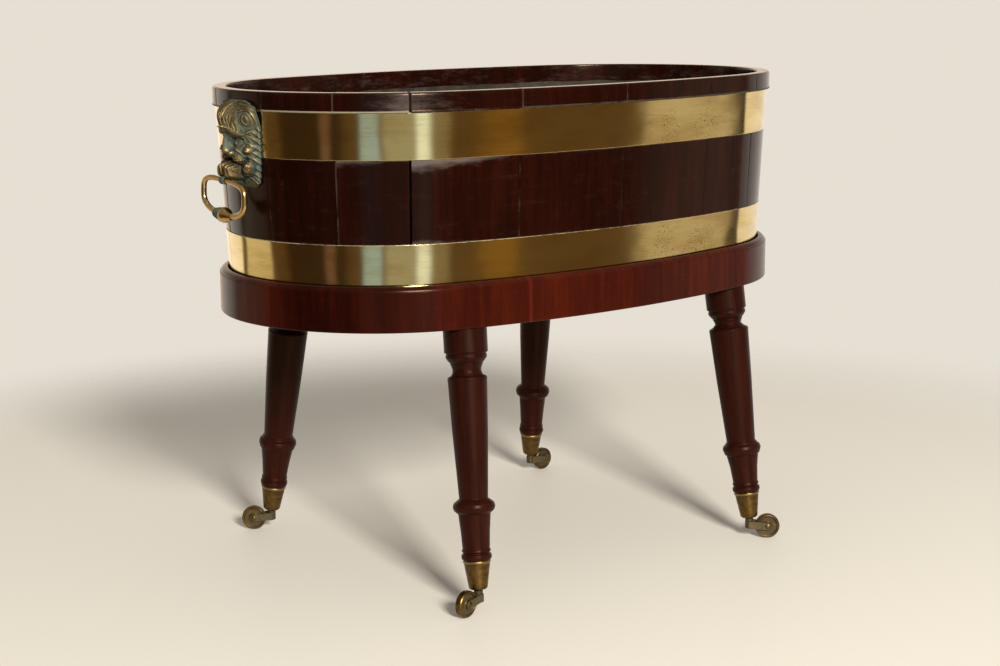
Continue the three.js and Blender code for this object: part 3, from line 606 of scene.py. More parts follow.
def makeStaves():
    s = tubSizes
    slack, base, rim, boardTop, boardUnder = (
        s[key] for key in ("rebateSlack", "base", "rim", "boardTop", "boardUnder")
    )
    depth = s["bandThickness"] - s["bandProud"] + 2 * slack
    lowBase, highBase = s["lowerBand"] - slack, s["upperBand"] - slack
    lowTop, highTop = (s[key] + s["bandHeight"] + slack for key in ("lowerBand", "upperBand"))

    def inner(height):
        return wall(height) - s["thickness"]

    outline = softened([
        (wall(base), base, 0.0008),
        (wall(lowBase), lowBase, 0.0003), (wall(lowBase) - depth, lowBase, 0),
        (wall(lowTop) - depth, lowTop, 0), (wall(lowTop), lowTop, 0.0006),
        (wall(highBase), highBase, 0.0006), (wall(highBase) - depth, highBase, 0),
        (wall(highTop) - depth, highTop, 0), (rimOffset + 0.0003, highTop, 0.0004),
        (rimOffset + 0.0003, highTop + 0.0013, 0.0004), (rimOffset, highTop + 0.0022, 0.0005),
        (rimOffset, rim, 0.0026), (inner(rim), rim, 0.0016),
        (inner(boardTop), boardTop, 0), (inner(boardTop) + s["groove"], boardTop, 0),
        (inner(boardUnder) + s["groove"], boardUnder, 0), (inner(boardUnder), boardUnder, 0),
        (inner(base), base, 0.0008),
    ])
    outline = withRows(outline, (lowTop + highBase) / 2, s["rows"])
    for i, seam in enumerate(s["seams"]):
        following = (i + 1) % len(s["seams"])
        gaps = [s["openGap"] if k == s["openSeam"] else s["seamGap"] for k in (i, following)]
        start = seam + gaps[0] / 2 / ovalRun
        end = s["seams"][following] + (1 if following == 0 else 0) - gaps[1] / 2 / ovalRun

        def uneven(share, at, x, y):
            # old staves cup a little, and stand a hair in or out of their neighbours
            hair = 0.00016 * math.sin(i * 2.4) - 0.00022 * (2 * share - 1) ** 4
            return hair + 0.00016 * ripple(at * 30, y * 12, i * 1.7)

        def dirty(share, x, y):
            near = min(abs(y - edge) for edge in (lowTop, highBase, highTop))
            against = 0.75 if near < 0.0009 and x > wall(y) - 0.0012 else 0.0
            if 0.0001 < y - highTop < 0.0017 and x > wall(y):
                against = s["lipDirt"].get(i, 0.95)
            if min(share, 1 - share) * (end - start) * ovalRun >= 0.0006:
                return against
            joint = s["seamDirt"][following if share > 0.5 else i]
            return max(against, joint * (1.0 if y > highTop else 0.86))

        def filmAndSheen(run, height, out):
            # a pale film of polish with painted sheen lies just under the upper band and over the lower
            # one; on the rim it is a painted reflection that changes along the stave, and the inside
            # gets an even film with painted sheen
            under, over = highBase - height, height - lowTop
            along = (run / ovalRun - start) / (end - start)
            if out < wall(height) - 0.9 * s["thickness"]:
                return s["innerFilmAndSheen"]
            if height > highTop:
                first, last = s["rimPaintedReflection"].get(i, (0.2, 0.05))
                return first + (last - first) * along
            if under > 0 and over > 0:
                near = math.exp(-under / 0.01) + 0.6 * math.exp(-over / 0.006)
                return s["bandFilmAndSheen"].get(i, 0.4) * near * (1.1 - 0.8 * along)
            return 0.0

        stave = alongOval(outline, start, end, 0.0028, 0.0002, uneven, dirty)
        stave["haze"] = [filmAndSheen(*spot) for spot in stave["place"]]
        shade = s["shades"][i % len(s["shades"])]
        name = f"stave_{i + 1:02d}"
        newPiece(name, "polished", stave, "tub", tubMahogany, shade)


def makeBands():
    s = tubSizes
    proud, thick = s["bandProud"], s["bandThickness"]
    for name, base in (("lower_band", s["lowerBand"]), ("upper_band", s["upperBand"])):
        top = base + s["bandHeight"]
        outline = softened([
            (wall(base) + proud, base, 0.0004), (wall(top) + proud, top, 0.0004),
            (wall(top) + proud - thick, top, 0), (wall(base) + proud - thick, base, 0),
        ])
        outline = withRows(outline, base + 0.01, range(1, 9), 9)

        def hammered(share, at, x, y):
            if x < wall(y) - 0.0003:
                return 0.0
            slow = ripple(at * 26, y * 36, base * 9)
            quick = ripple(at * 60, y * 50, base * 7)
            return 0.00032 * slow + 0.0001 * quick

        def dirty(share, x, y):
            if abs(y - base) < 0.0009:
                return 0.7
            return 0.88 if abs(y - top) < 0.0009 else 0.0

        band = alongOval(outline, spacing=0.0025, swell=hammered, dirt=dirty)
        band["haze"] = [
            max(bell(run / ovalRun, at, wide) for at, wide in s["spoilt"])
            * (1.15 - 0.8 * ((height - base) / s["bandHeight"]))
            for run, height, out in band["place"]
        ]
        newPiece(name, "sheet", band, "tub", bandBrass)


linerSizes = {
    "floor": 0.3356, "thickness": 0.0022, "drop": 0.019, "gap": 0.0003, "foot": 0.0024,
    "spacing": 0.006, "rows": 30, "raggedRows": 3,
}


def makeLiner():
    s, t = linerSizes, tubSizes
    under, rows = s["floor"], s["rows"]
    rise = t["rim"] - s["drop"] - under - s["foot"]
    columns = round(ovalRun / s["spacing"])
    shape = newShape()

    def outer(height):
        return wall(height) - t["thickness"] - s["gap"]

    def ring(offset, height, upper):
        # dented all over, and ragged along its upper edge
        for i in range(columns):
            share = i / columns
            lift = 0.0016 * ripple(share * 60, 4.2, 0) - 0.0012 if upper else 0.0
            dent = 0.0009 * ripple(share * 46, height * 22, 7.7) - 0.0006
            p = ovalAt(share, offset + min(0, dent), height + lift * upper)
            addPoint(shape, p, (share * ovalRun, height, offset), 1.0 if upper == 1 else 0.0)

    def floorRing(share, height):
        for i in range(columns):
            p = ovalAt(i / columns, outer(under) - 0.004, height)
            flat = Vector((p.x * share, p.y * share, height))
            flat.z += 0.0008 * ripple(flat.x * 24, flat.y * 24, 1.3)
            addPoint(shape, flat, (flat.x, flat.y, height))

    levels = []
    for k in range(rows + 1):
        height = under + s["foot"] + rise * k / rows
        levels.append((outer(height), height, k / rows if k >= rows - s["raggedRows"] else 0))
    for k in (1, 3, 5, 7, 9, 10):
        floorRing(k / 10, under + 0.0008)
    for level in levels:
        ring(*level)
    for offset, height, upper in reversed(levels):
        ring(offset - s["thickness"], height + 0.0002, upper)
    for k in (10, 9, 7, 5, 3, 1):
        floorRing(k / 10 * 0.99, under + s["thickness"] + 0.0008)
    skinned(shape, list(range(0, len(shape["points"]), columns)), columns)
    newPiece("lead_liner", "sheet", shape, "tub", leadSheet, sharp=50)


makeRails()
dressHiddenWood()
makeStaves()
makeBands()
makeLiner()
print("apron, staves, bands and lining made")


# The legs: down from the apron's underside and out from it, in shares of the turning,
# and the rounding of each corner in millimetres

legSizes = {
    "inset": 0.0231, "footInset": 0.0227, "splayAlong": 0.0125, "splayAcross": 0.0379,
    "radius": 0.0226, "cupBase": 0.0241, "cupHeight": 0.0298, "toeHeight": 0.0272,
    "toeEnd": 0.0095, "tenonRadius": 0.011, "tenonLength": 0.022, "sides": 64, "longest": 0.008,
    "outline": [
        (0.0, 0.99, 0), (0.1145, 0.98, 0.8), (0.117, 0.905, 0.2), (0.121, 0.90, 0.3),
        (0.127, 0.925, 1.0), (0.136, 0.925, 1.6), (0.150, 0.82, 2.0), (0.1605, 0.72, 0.5),
        (0.163, 0.74, 0.3), (0.168, 0.70, 0.5), (0.182, 0.65, 3), (0.196, 0.645, 3),
        (0.2105, 0.72, 1.2), (0.217, 0.86, 1.4), (0.2245, 0.895, 1.0), (0.2305, 0.885, 1.2),
        (0.45, 0.80, 6), (0.729, 0.648, 0.8), (0.733, 0.70, 0.5), (0.739, 0.79, 1.0),
        (0.749, 0.915, 2.2), (0.764, 0.955, 3.0), (0.779, 0.905, 2.2), (0.789, 0.79, 1.0),
        (0.7935, 0.725, 0.6), (0.799, 0.722, 1.2), (0.87, 0.655, 6), (0.941, 0.612, 0.6),
        (0.9445, 0.64, 0.7), (0.952, 0.655, 0.9), (0.957, 0.60, 0.4), (0.9605, 0.60, 0.4),
        (0.965, 0.672, 0.8), (0.978, 0.682, 1.1), (0.9855, 0.65, 0.7), (0.990, 0.60, 0),
    ],
}
# each corner: its signs, where its castor trails, the slip of the leg's top, how much stouter the
# shaft is than the nearest leg's, and how much lower its bead stands
corners = [
    ("back_right", 1, 1, 3, 0.0052, 0.015, -0.012),
    ("back_left", -1, 1, 141, 0.0, 0.115, 0.005),
    ("front_left", -1, -1, 194, 0.0035, 0.0, 0.0),
    ("front_right", 1, -1, -39, -0.0075, 0.095, 0.017),
]


def legPlacing(signX, signY, slip):
    # each foot stands square, but the tops have moved along the apron by a few millimetres
    s, underside, share = legSizes, railSizes["underside"], railSizes["legShare"]
    square = ovalAt(share, -s["footInset"], underside)
    foot = Vector((square.x + s["splayAlong"], square.y + s["splayAcross"], s["cupBase"]))
    top = ovalAt(share + slip / ovalRun, -s["inset"], underside)
    for point in (foot, top):
        point.x *= signX
        point.y *= signY
    spread = foot - top
    turn = Vector((0, 0, -1)).rotation_difference(spread.normalized())
    return Matrix.Translation(top) @ turn.to_matrix().to_4x4(), spread.length, foot


def stouter(down, across, amount, lower):
    # no two legs were turned quite alike: a stouter shaft has its shoulder a little higher up
    if 0.2 < down < 0.735:
        across *= 1 + amount
    elif 0.785 < down < 0.94:
        across *= 1 + amount * (0.94 - down) / 0.155
    if 0.19 < down < 0.24:
        down -= 0.11 * amount
    elif 0.72 < down < 0.8:
        down += lower
    return down, across


def makeLegs():
    s = legSizes
    tenonRadius, tenonLength = s["tenonRadius"], s["tenonLength"]
    plane = railSizes["underside"] - 0.0003
    for name, signX, signY, trail, slip, stout, lower in corners:
        matrix, length, foot = legPlacing(signX, signY, slip)
        rows = []
        for down, across, soft in s["outline"]:
            down, across = stouter(down, across, stout, lower)
            rows.append((across * s["radius"], -down * (length - s["toeHeight"]), soft / perMetre))
        rows[0] = (rows[0][0], 0.004, 0)
        toe = s["toeEnd"] - length
        rows += [(0.0115, rows[-1][1] - 0.0004, 0), (0.0085, toe, 0.0005), (0.0001, toe, 0)]
        rows = softened([(0.0001, 0.004, 0)] + rows, 6)
        # long tapers get rings of their own
        filled = [rows[0]]
        for a, b in zip(rows, rows[1:]):
            steps = max(1, int(abs(b[1] - a[1]) / s["longest"]))
            filled += [midway(a, b, k, steps) for k in range(1, steps + 1)]
        leg = placed(turned(filled, s["sides"]), matrix)
        # the top is cut off along the apron's underside
        axis = matrix.to_3x3() @ Vector((0, 0, 1))
        for p in leg["points"]:
            if p.z > plane:
                p -= axis * ((p.z - plane) / axis.z)
        tenon = [(tenonRadius, -0.004), (tenonRadius, tenonLength - 0.001)]
        tenon = turned(tenon + [(tenonRadius - 0.001, tenonLength)], s["sides"])
        leg = joined(leg, placed(tenon, matrix))
        newPiece(f"{name}_leg", "turned", leg, "stand", legMahogany)


# The castors: a tapered cup on the toe, a fork that swivels under it, a pin and a wheel

castorSizes = {
    "wheelRadius": 0.0138, "wheelWidth": 0.0076, "hubRadius": 0.0052, "axleRadius": 0.0021,
    "axleHead": 0.001, "cheek": 0.0017, "gap": 0.0004, "stemRadius": 0.0046, "stemFoot": 0.0112,
    "trail": 0.0206, "yokeHeight": 0.0086, "cheekRadius": 0.0043, "cupTop": 0.0137,
    "cupBottom": 0.0096, "cupWall": 0.0016, "cupFloor": 0.0026, "pintle": 0.003,
    "rivetRadius": 0.0044, "rivetHeight": 0.0016, "cupSides": 48, "wheelSides": 56,
}


def cupShape(length):
    s = castorSizes
    base, top = -length, legSizes["cupHeight"] - length
    mouth, bottom, bore, floor = s["cupTop"], s["cupBottom"], s["pintle"] + s["gap"], s["cupFloor"]
    rows = softened([
        (bottom - 0.0016, base, 0.0003), (bottom, base + 0.0016, 0.0016),
        (mouth - 0.0004, top - 0.0032, 0.0004), (mouth - 0.0001, top - 0.0030, 0.0002),
        (mouth + 0.0005, top - 0.0022, 0.0007), (mouth + 0.0005, top - 0.0008, 0.0007),
        (mouth - 0.0003, top, 0.0003), (mouth - s["cupWall"], top, 0.0002),
        (bottom - s["cupWall"], base + floor, 0.0005), (bore, base + floor, 0), (bore, base, 0),
    ])
    shape = turned(rows, s["cupSides"], closed=True)
    wears = [1.0 if row[1] > top - 0.003 else 0.15 for row in rows]
    shape["wear"] = [worn for worn in wears for j in range(s["cupSides"])]
    return shape


def wheelShape():
    s = castorSizes
    half, radius, hub = s["wheelWidth"] / 2, s["wheelRadius"], s["hubRadius"]
    rows = mirrored([
        (s["axleRadius"] + s["gap"], half + 0.0001, 0), (hub - 0.0006, half, 0.0005),
        (hub, half - 0.0009, 0.0005), (hub + 0.0006, half - 0.0013, 0.0006),
        (radius - 0.0034, half - 0.0013, 0.0006), (radius - 0.0028, half - 0.0002, 0.0004),
        (radius - 0.0011, half, 0.0006), (radius, half - 0.0012, 0.0012),
    ])
    shape = turned(rows, s["wheelSides"], closed=True)
    sunk = [hub < r < radius - 0.003 and abs(z) < half - 0.0008 for r, z, mark in rows]
    shape["hollow"] = [0.7 if low else 0.25 for low in sunk for j in range(s["wheelSides"])]
    return shape


def axleShape():
    s = castorSizes
    radius, head = s["axleRadius"], s["axleHead"]
    half = s["wheelWidth"] / 2 + s["gap"] + s["cheek"] + 0.0003
    side = [
        (0.0001, half + head * 1.15, 0), (0.0018, half + head * 1.05, 0.0006),
        (radius + head, half + head * 0.4, 0.0006), (radius + head, half, 0.0001), (radius, half, 0),
    ]
    return turned(mirrored(side, 3), 28)


def forkShape():
    # the stem, and a flat horn on each side of the wheel that narrows out to the pin
    s = castorSizes
    foot, stem, pintle, head = s["stemFoot"], s["stemRadius"], s["pintle"], s["rivetRadius"]
    stemTop = legSizes["cupBase"] - 0.0011
    rivet = legSizes["cupBase"] + s["cupFloor"] + 0.0014
    rivetTop = rivet + s["rivetHeight"]
    pieces = [turned([
        (0.0001, foot), (stem - 0.0008, foot), (stem, foot + 0.0008), (stem, stemTop - 0.0003),
        (stem - 0.0003, stemTop), (pintle, stemTop), (pintle, rivet), (head, rivet),
        (head - 0.0004, rivet + 0.0011), (head - 0.0018, rivetTop), (0.0001, rivetTop),
    ], 32)]
    trail, high, cheek, yoke = s["trail"], s["wheelRadius"], s["cheekRadius"], foot + s["yokeHeight"]
    side = [(-0.0016, foot), (stem, foot), (trail - 0.0015, high - cheek)]
    for k in range(13):
        turn = math.pi * (k / 12 - 0.5)
        side.append((trail + cheek * math.cos(turn), high + cheek * math.sin(turn)))
    side += [(trail - 0.002, high + cheek + 0.0001), (stem + 0.0012, yoke), (-0.0016, yoke)]
    inside = s["wheelWidth"] / 2 + s["gap"]
    outside = inside + s["cheek"]
    for sign in (1, -1):
        pieces.append(slab(side, sign * inside, sign * outside, 0.0004))
    fork = joined(*pieces)
    fork["hollow"] = [0.75] * len(fork["points"])
    return fork


def makeCastors():
    s = castorSizes
    for name, signX, signY, trail, slip, *rest in corners:
        matrix, length, foot = legPlacing(signX, signY, slip)
        spin = Matrix.Translation((foot.x, foot.y, 0)) @ Matrix.Rotation(math.radians(trail), 4, "Z")
        hub = spin @ Matrix.Translation((s["trail"], 0, s["wheelRadius"])) @ lying
        castor = f"{name}_castor"
        for kind, ending, shape, spot, body in (
            ("cup", "cast", cupShape(length), matrix, "stand"),
            ("fork", "cast", forkShape(), spin, castor),
            ("axle", "pin", axleShape(), hub, castor),
            ("wheel", "cast", wheelShape(), hub, f"{name}_wheel"),
        ):
            shape = placed(shape, spot)
            newPiece(f"{castor}_{kind}", ending, shape, body, castorBrass)


makeLegs()
makeCastors()
print("legs and castors made")


# The ring handles: a bar bent to a wide D, thicker towards the knot at its foot

ringSizes = {
    "width": 0.0824, "drop": 0.0396, "tube": 0.0024, "askew": 4.2, "standOff": 0.0262,
    "pivotHeight": 0.4349, "topPower": 0.5, "footPower": 0.8, "steps": 120, "sides": 16,
    "knotSides": 40,
    # the knot's places along the bar, radii and roundings, and how thick its three beads are
    "knot": [
        (0.0158, 0.0028, 0.0002), (0.0154, 0.0042, 0.0008), (0.0138, 0.0054, 0.0012),
        (0.0122, 0.0042, 0.0006), (0.0118, 0.0030, 0.0002), (0.0104, 0.0030, 0.0002),
        (0.0100, 0.0052, 0.0008), (0.0082, 0.0067, 0.0014), (0.0063, 0.0050, 0.0006),
        (0.0059, 0.0036, 0.0002), (0.0044, 0.0036, 0.0002), (0.0039, 0.0060, 0.0010),
        (0.0014, 0.0078, 0.0024), (-0.0028, 0.0079, 0.0026), (-0.0060, 0.0070, 0.0022),
        (-0.0088, 0.0056, 0.0020), (-0.0120, 0.0044, 0.0020), (-0.0160, 0.0032, 0.0008),
    ],
    "crests": [(0.005, 0.0079), (0.011, 0.0067), (1, 0.0054)],
}


def ringPivot(sign):
    s = ringSizes
    out = ovalSizes["halfLength"] + wall(s["pivotHeight"]) + s["standOff"]
    return Vector((sign * out, 0, s["pivotHeight"]))


def ringLine():
    # the middle of the bar, in even steps and seen from the tub's end
    s = ringSizes
    across, down = s["width"] / 2 - s["tube"], s["drop"] / 2 - s["tube"]
    line = []
    for k in range(s["steps"] * 8):
        turn = k / 8 / s["steps"] * 2 * math.pi
        c, d = math.cos(turn), math.sin(turn)
        power = s["topPower"] if d > 0 else s["footPower"]
        z = down * (math.copysign(abs(d) ** power, d) - 1)
        line.append(Vector((across * math.copysign(abs(c) ** power, c), z)))
    runs = [0.0]
    for a, b in zip(line, line[1:] + line[:1]):
        runs.append(runs[-1] + (b - a).length)
    even, at = [], 0
    for k in range(s["steps"]):
        run = runs[-1] * k / s["steps"]
        while runs[at + 1] < run:
            at += 1
        t = (run - runs[at]) / max(1e-9, runs[at + 1] - runs[at])
        even.append(line[at].lerp(line[(at + 1) % len(line)], t))
    return even, down


def knotShape(sign):
    # the casting is the same at both ends, so its beads lie on opposite sides
    s = ringSizes
    rows = softened([(radius, along, soft) for along, radius, soft in s["knot"]])
    knot = turned([(radius, sign * along) for radius, along, mark in rows], s["knotSides"])
    knot["wear"], knot["hollow"] = [], []
    for radius, along, mark in rows:
        crest = next(crest for end, crest in s["crests"] if along < end)
        green = 0.95 if radius > crest - 0.0006 else 1.7
        knot["wear"] += [0.7 if radius > crest - 0.0005 else 0.0] * s["knotSides"]
        knot["hollow"] += [green if along > -0.0015 else 0.0] * s["knotSides"]
    return knot


def makeRing(name, sign):
    s = ringSizes
    pivot = ringPivot(sign)
    shape = newShape()
    line, down = ringLine()
    for k, spot in enumerate(line):
        along = (line[(k + 1) % s["steps"]] - line[k - 1]).normalized()
        swelling = 0.18 * min(1.0, max(0.0, abs(spot.x) - 0.006) / 0.014)
        thick = s["tube"] * (1 + swelling + 0.08 * -spot.y / (2 * down))
        for j in range(s["sides"]):
            turn = 2 * math.pi * j / s["sides"]
            out = thick * math.cos(turn)
            y, z = spot.x - along.y * out, spot.y + along.x * out
            p = Vector((sign * thick * math.sin(turn), y, z)) + pivot
            place = (k / s["steps"] * 0.21, turn * 0.003, 0)
            addPoint(shape, p, place, 0.3 + 0.5 * max(0.0, math.cos(turn)))
    skinned(shape, [k * s["sides"] for k in range(s["steps"])], s["sides"], closed=True)
    middle = Matrix.Translation(pivot)
    askew = middle @ Matrix.Rotation(math.radians(-sign * s["askew"]), 4, "X") @ middle.inverted()
    foot = Matrix.Translation((pivot.x, 0, s["pivotHeight"] - 2 * down))
    whole = placed(joined(shape, placed(knotShape(sign), foot @ lying)), askew)
    newPiece(f"{name}_ring_handle", "cast", whole, f"{name}_ring", ringBrass)


makeRing("left", -1)
makeRing("right", 1)
print("ring handles made")


# The lion masks: a carved height over the tub's end, in millimetres across and up from the nose

maskSizes = {
    "middle": 0.470, "bottom": 0.4269, "top": 0.5139, "rows": 262, "columns": 190, "backStep": 10,
    "outline": [
        (-43.2, 17), (-41, 23), (-38, 26.6), (-34, 28), (-26, 29.2), (-18, 30.4), (-8, 31.4),
        (2, 32), (12, 32), (20, 32), (27, 31.6), (31.5, 30.2), (33, 29.8), (34.5, 28.8),
        (35.5, 29.2), (37.5, 28.4), (38.8, 25.6), (39.6, 22), (40.4, 22.6), (41.6, 20.6),
        (42.4, 17.2), (43.1, 16.6), (43.7, 13.4), (44, 8),
    ],
    "dome": 20, "domeHalf": 29, "lockPitch": 6.6, "firstTip": -39.5, "lastTip": 14, "edge": 0.9,
    "lugRadius": 0.0041, "lugBore": 0.0028, "lugWidth": 0.0075, "lugSides": 36,
}
# hollows cut first: the socket, its inner corner, beside the nose, and the corner of the mouth, by
# their middle across and up, half size across and up, and depth
maskHollows = [
    (11, 3.6, 7.6, 7.4, 6.0), (5.6, 5.0, 4.2, 6.4, 4.4), (6.6, -2.6, 4.4, 6.0, 3.0),
    (16.4, -15.4, 3.0, 4.0, 2.6),
]
# rounded forms, in the same way, with the height over the wall and how softly they merge
maskForms = {
    "noseWing": (5.4, -7.6, 3.4, 3.6, 20.6, 0.8),
    "pad": (9.8, -13.4, 6.4, 6.8, 17.6, 0.7),
    "cheek": (19.6, -5.0, 6.2, 4.8, 12.4, 0.6),
    "jowl": (18.0, -22.8, 7.4, 8.6, 13.2, 0.6),
    "chinBack": (0.0, -25.0, 12.0, 9.2, 21.0, 1.5),
}
# the open mouth from its middle out to its corner, cut after the forms, and the two nostrils
maskMouth = [(0, -13.8), (2.6, -14.4), (5.4, -16.2), (8.4, -18.8), (11.2, -21.8), (13.2, -25.0)]
maskNostrils = [(5.6, -11.4, 1.7, 1.5, 3.4), (0, -12.6, 1.0, 3.4, 1.6)]
# ridges: curve points across and up, half width, height, share of width at both ends
maskRidges = {
    "brow": ([(0, 14.6), (3, 17.4), (7, 15.6), (12, 12.2), (19, 10.4), (24, 13.0)], 3.0, 3.8, 0.7, 0.3),
    "browUnder": ([(4, 12.0), (9, 9.2), (15, 7.4), (20, 7.6)], 1.1, 1.2, 0.5, 0.3),
    "lidTop": ([(6.6, 1.8), (9.4, 5.4), (13.4, 5.2), (17.4, 1.6)], 0.9, 1.7, 0.5, 0.4),
    "lidUnder": ([(6.8, 1.2), (10, -1.0), (14, -0.6), (17.4, 1.4)], 0.8, 1.3, 0.5, 0.4),
    "cheekFold": ([(7, -1.6), (11, -4.0), (14.6, -8.2), (16.6, -13)], 1.2, 1.4, 0.6, 0.3),
    "cheekOver": ([(14.6, -0.8), (19, 1.8), (24, 0.6), (26.4, -5)], 0.9, 1.1, 0.4, 0.3),
    "lowLip": ([(3.0, -16.8), (8, -20.6), (13, -26.4)], 0.9, 1.6, 0.5, 0.4),
}


def unit(value):
    return np.clip(value, 0, 1)


def smoothMax(a, b, soft):
    mix = unit(0.5 + 0.5 * (a - b) / soft)
    return a * mix + b * (1 - mix) + soft * mix * (1 - mix)


def mound(x, y, cx, cy, halfX, halfY, power):
    # 1 in the middle of an ellipse, and 0 from its edge outwards
    return unit(1 - (((x - cx) / halfX) ** 2 + ((y - cy) / halfY) ** 2)) ** power


def curvePoints(points, steps=22):
    # a smooth curve through the points given
    points = np.array(points, float)
    ends = np.vstack([2 * points[0] - points[1], points, 2 * points[-1] - points[-2]])
    found = []
    for i in range(1, len(ends) - 2):
        a, b, c, d = ends[i - 1 : i + 3]
        parts = np.linspace(0, 1, steps // (len(points) - 1) + 1)
        for t in parts if i == len(ends) - 3 else parts[:-1]:
            square, cube = 2 * a - 5 * b + 4 * c - d, 3 * b - a - 3 * c + d
            found.append(0.5 * (2 * b + (c - a) * t + square * t**2 + cube * t**3))
    return np.array(found)


def lockOver(x, y, points, width, height, head=0.5, tail=0.1, strands=0):
    line = curvePoints(points)
    best = np.zeros_like(x)
    count = len(line) - 1
    for i in range(count):
        a, b = line[i], line[i + 1]
        run = b - a
        length = max(1e-6, float(run @ run))
        t = unit(((x - a[0]) * run[0] + (y - a[1]) * run[1]) / length)
        away = np.hypot(x - a[0] - run[0] * t, y - a[1] - run[1] * t)
        share = (i + t) / count
        narrow = np.where(share < 0.5, head, tail)
        wide = (narrow + (1 - narrow) * np.sin(math.pi * share)) * width
        across = unit(away / np.maximum(wide, 0.05))
        rise = height * (0.45 + 0.55 * wide / width) * (1 - across**2) ** 0.75
        if strands:
            rise *= 1 - 0.28 * np.cos(across * math.pi * strands) ** 4 * (across < 0.92)
        best = np.maximum(best, rise)
    return best


def hairLocks():
    # each lock: curve points, half width, height, share of width at both ends, strands
    s = maskSizes
    # hair that rises from the brow, and bends over at the top of the mask
    for k in range(7):
        bend = 0.5 * math.sin(k * 2.2)
        foot = (0.9 + 2.3 * k, 18.8 - 0.14 * k * k)
        waist = (0.2 + 2.3 * k + bend, 27.0 - 0.18 * k * k)
        shoulder = (1.0 + 2.6 * k - bend, 35.4 - 0.24 * k * k)
        crown = (4.4 + 3.2 * k, 41.6 - 0.3 * k * k)
        tip = (8.6 + 3.2 * k, 42.4 - 0.42 * k * k + bend)
        yield [foot, waist, shoulder, crown, tip], 1.4, 3.6, 0.6, 0.2, 1
    for k in range(6):
        x, y = 0.4 + 3.3 * k, 35.5 - 0.35 * k * k
        yield [(x, y), (x + 1.2, y + 4.6), (x + 4.6, y + 7.4)], 1.0, 1.8, 0.4, 0.1
    for points, width in (
        ([(10.5, 37.5), (16, 39.6), (21, 38.8), (27.8, 36.8)], 1.5),
        ([(12, 40.6), (15.5, 42.6), (19.6, 42.0), (22.4, 40.2)], 1.3),
        ([(15, 34.2), (19.5, 36.6), (24.6, 36.0), (29.4, 33.0)], 1.5),
        ([(5, 41.5), (8.5, 43.4), (12.6, 43.2), (15.6, 42.0)], 1.2),
    ):
        yield points, width, 2.6, 0.5, 0.1, 2
    # the mane: leaf-shaped locks that sweep down and out, in two rows
    for k in range(9):
        tip = s["firstTip"] + s["lockPitch"] * k
        edge = np.interp(tip, *zip(*s["outline"])) - 0.3
        yield [(edge - 9.8, tip + 8.4), (edge - 5.2, tip + 5.2), (edge, tip)], 2.6, 2.8, 0.4, 0.05, 2
        inner = [(edge - 5.4, tip + 9.2), (edge - 3.0, tip + 6.6), (edge - 0.8, tip + 3.2)]
        yield inner, 1.1, 1.1, 0.4, 0.1
    for k in range(6):
        tip = -29.5 + 7.2 * k
        yield [(20.6, tip + 9), (22.8, tip + 5.6), (26.2, tip + 0.6)], 1.7, 1.9, 0.5, 0.1, 2
    for k in range(4):
        low = [(8 + 3.6 * k, -33.0), (9.4 + 4.0 * k, -37), (9.6 + 4.9 * k, -42.2 + 0.3 * k)]
        yield low, 1.9, 2.0, 0.6, 0.1, 2
    yield [(14.5, -28), (17, -33), (22.6, -38.6)], 2.4, 2.2, 0.5, 0.1, 2
    yield [(20.5, -29), (23, -33.5), (27, -37)], 2.2, 2.1, 0.5, 0.1, 2


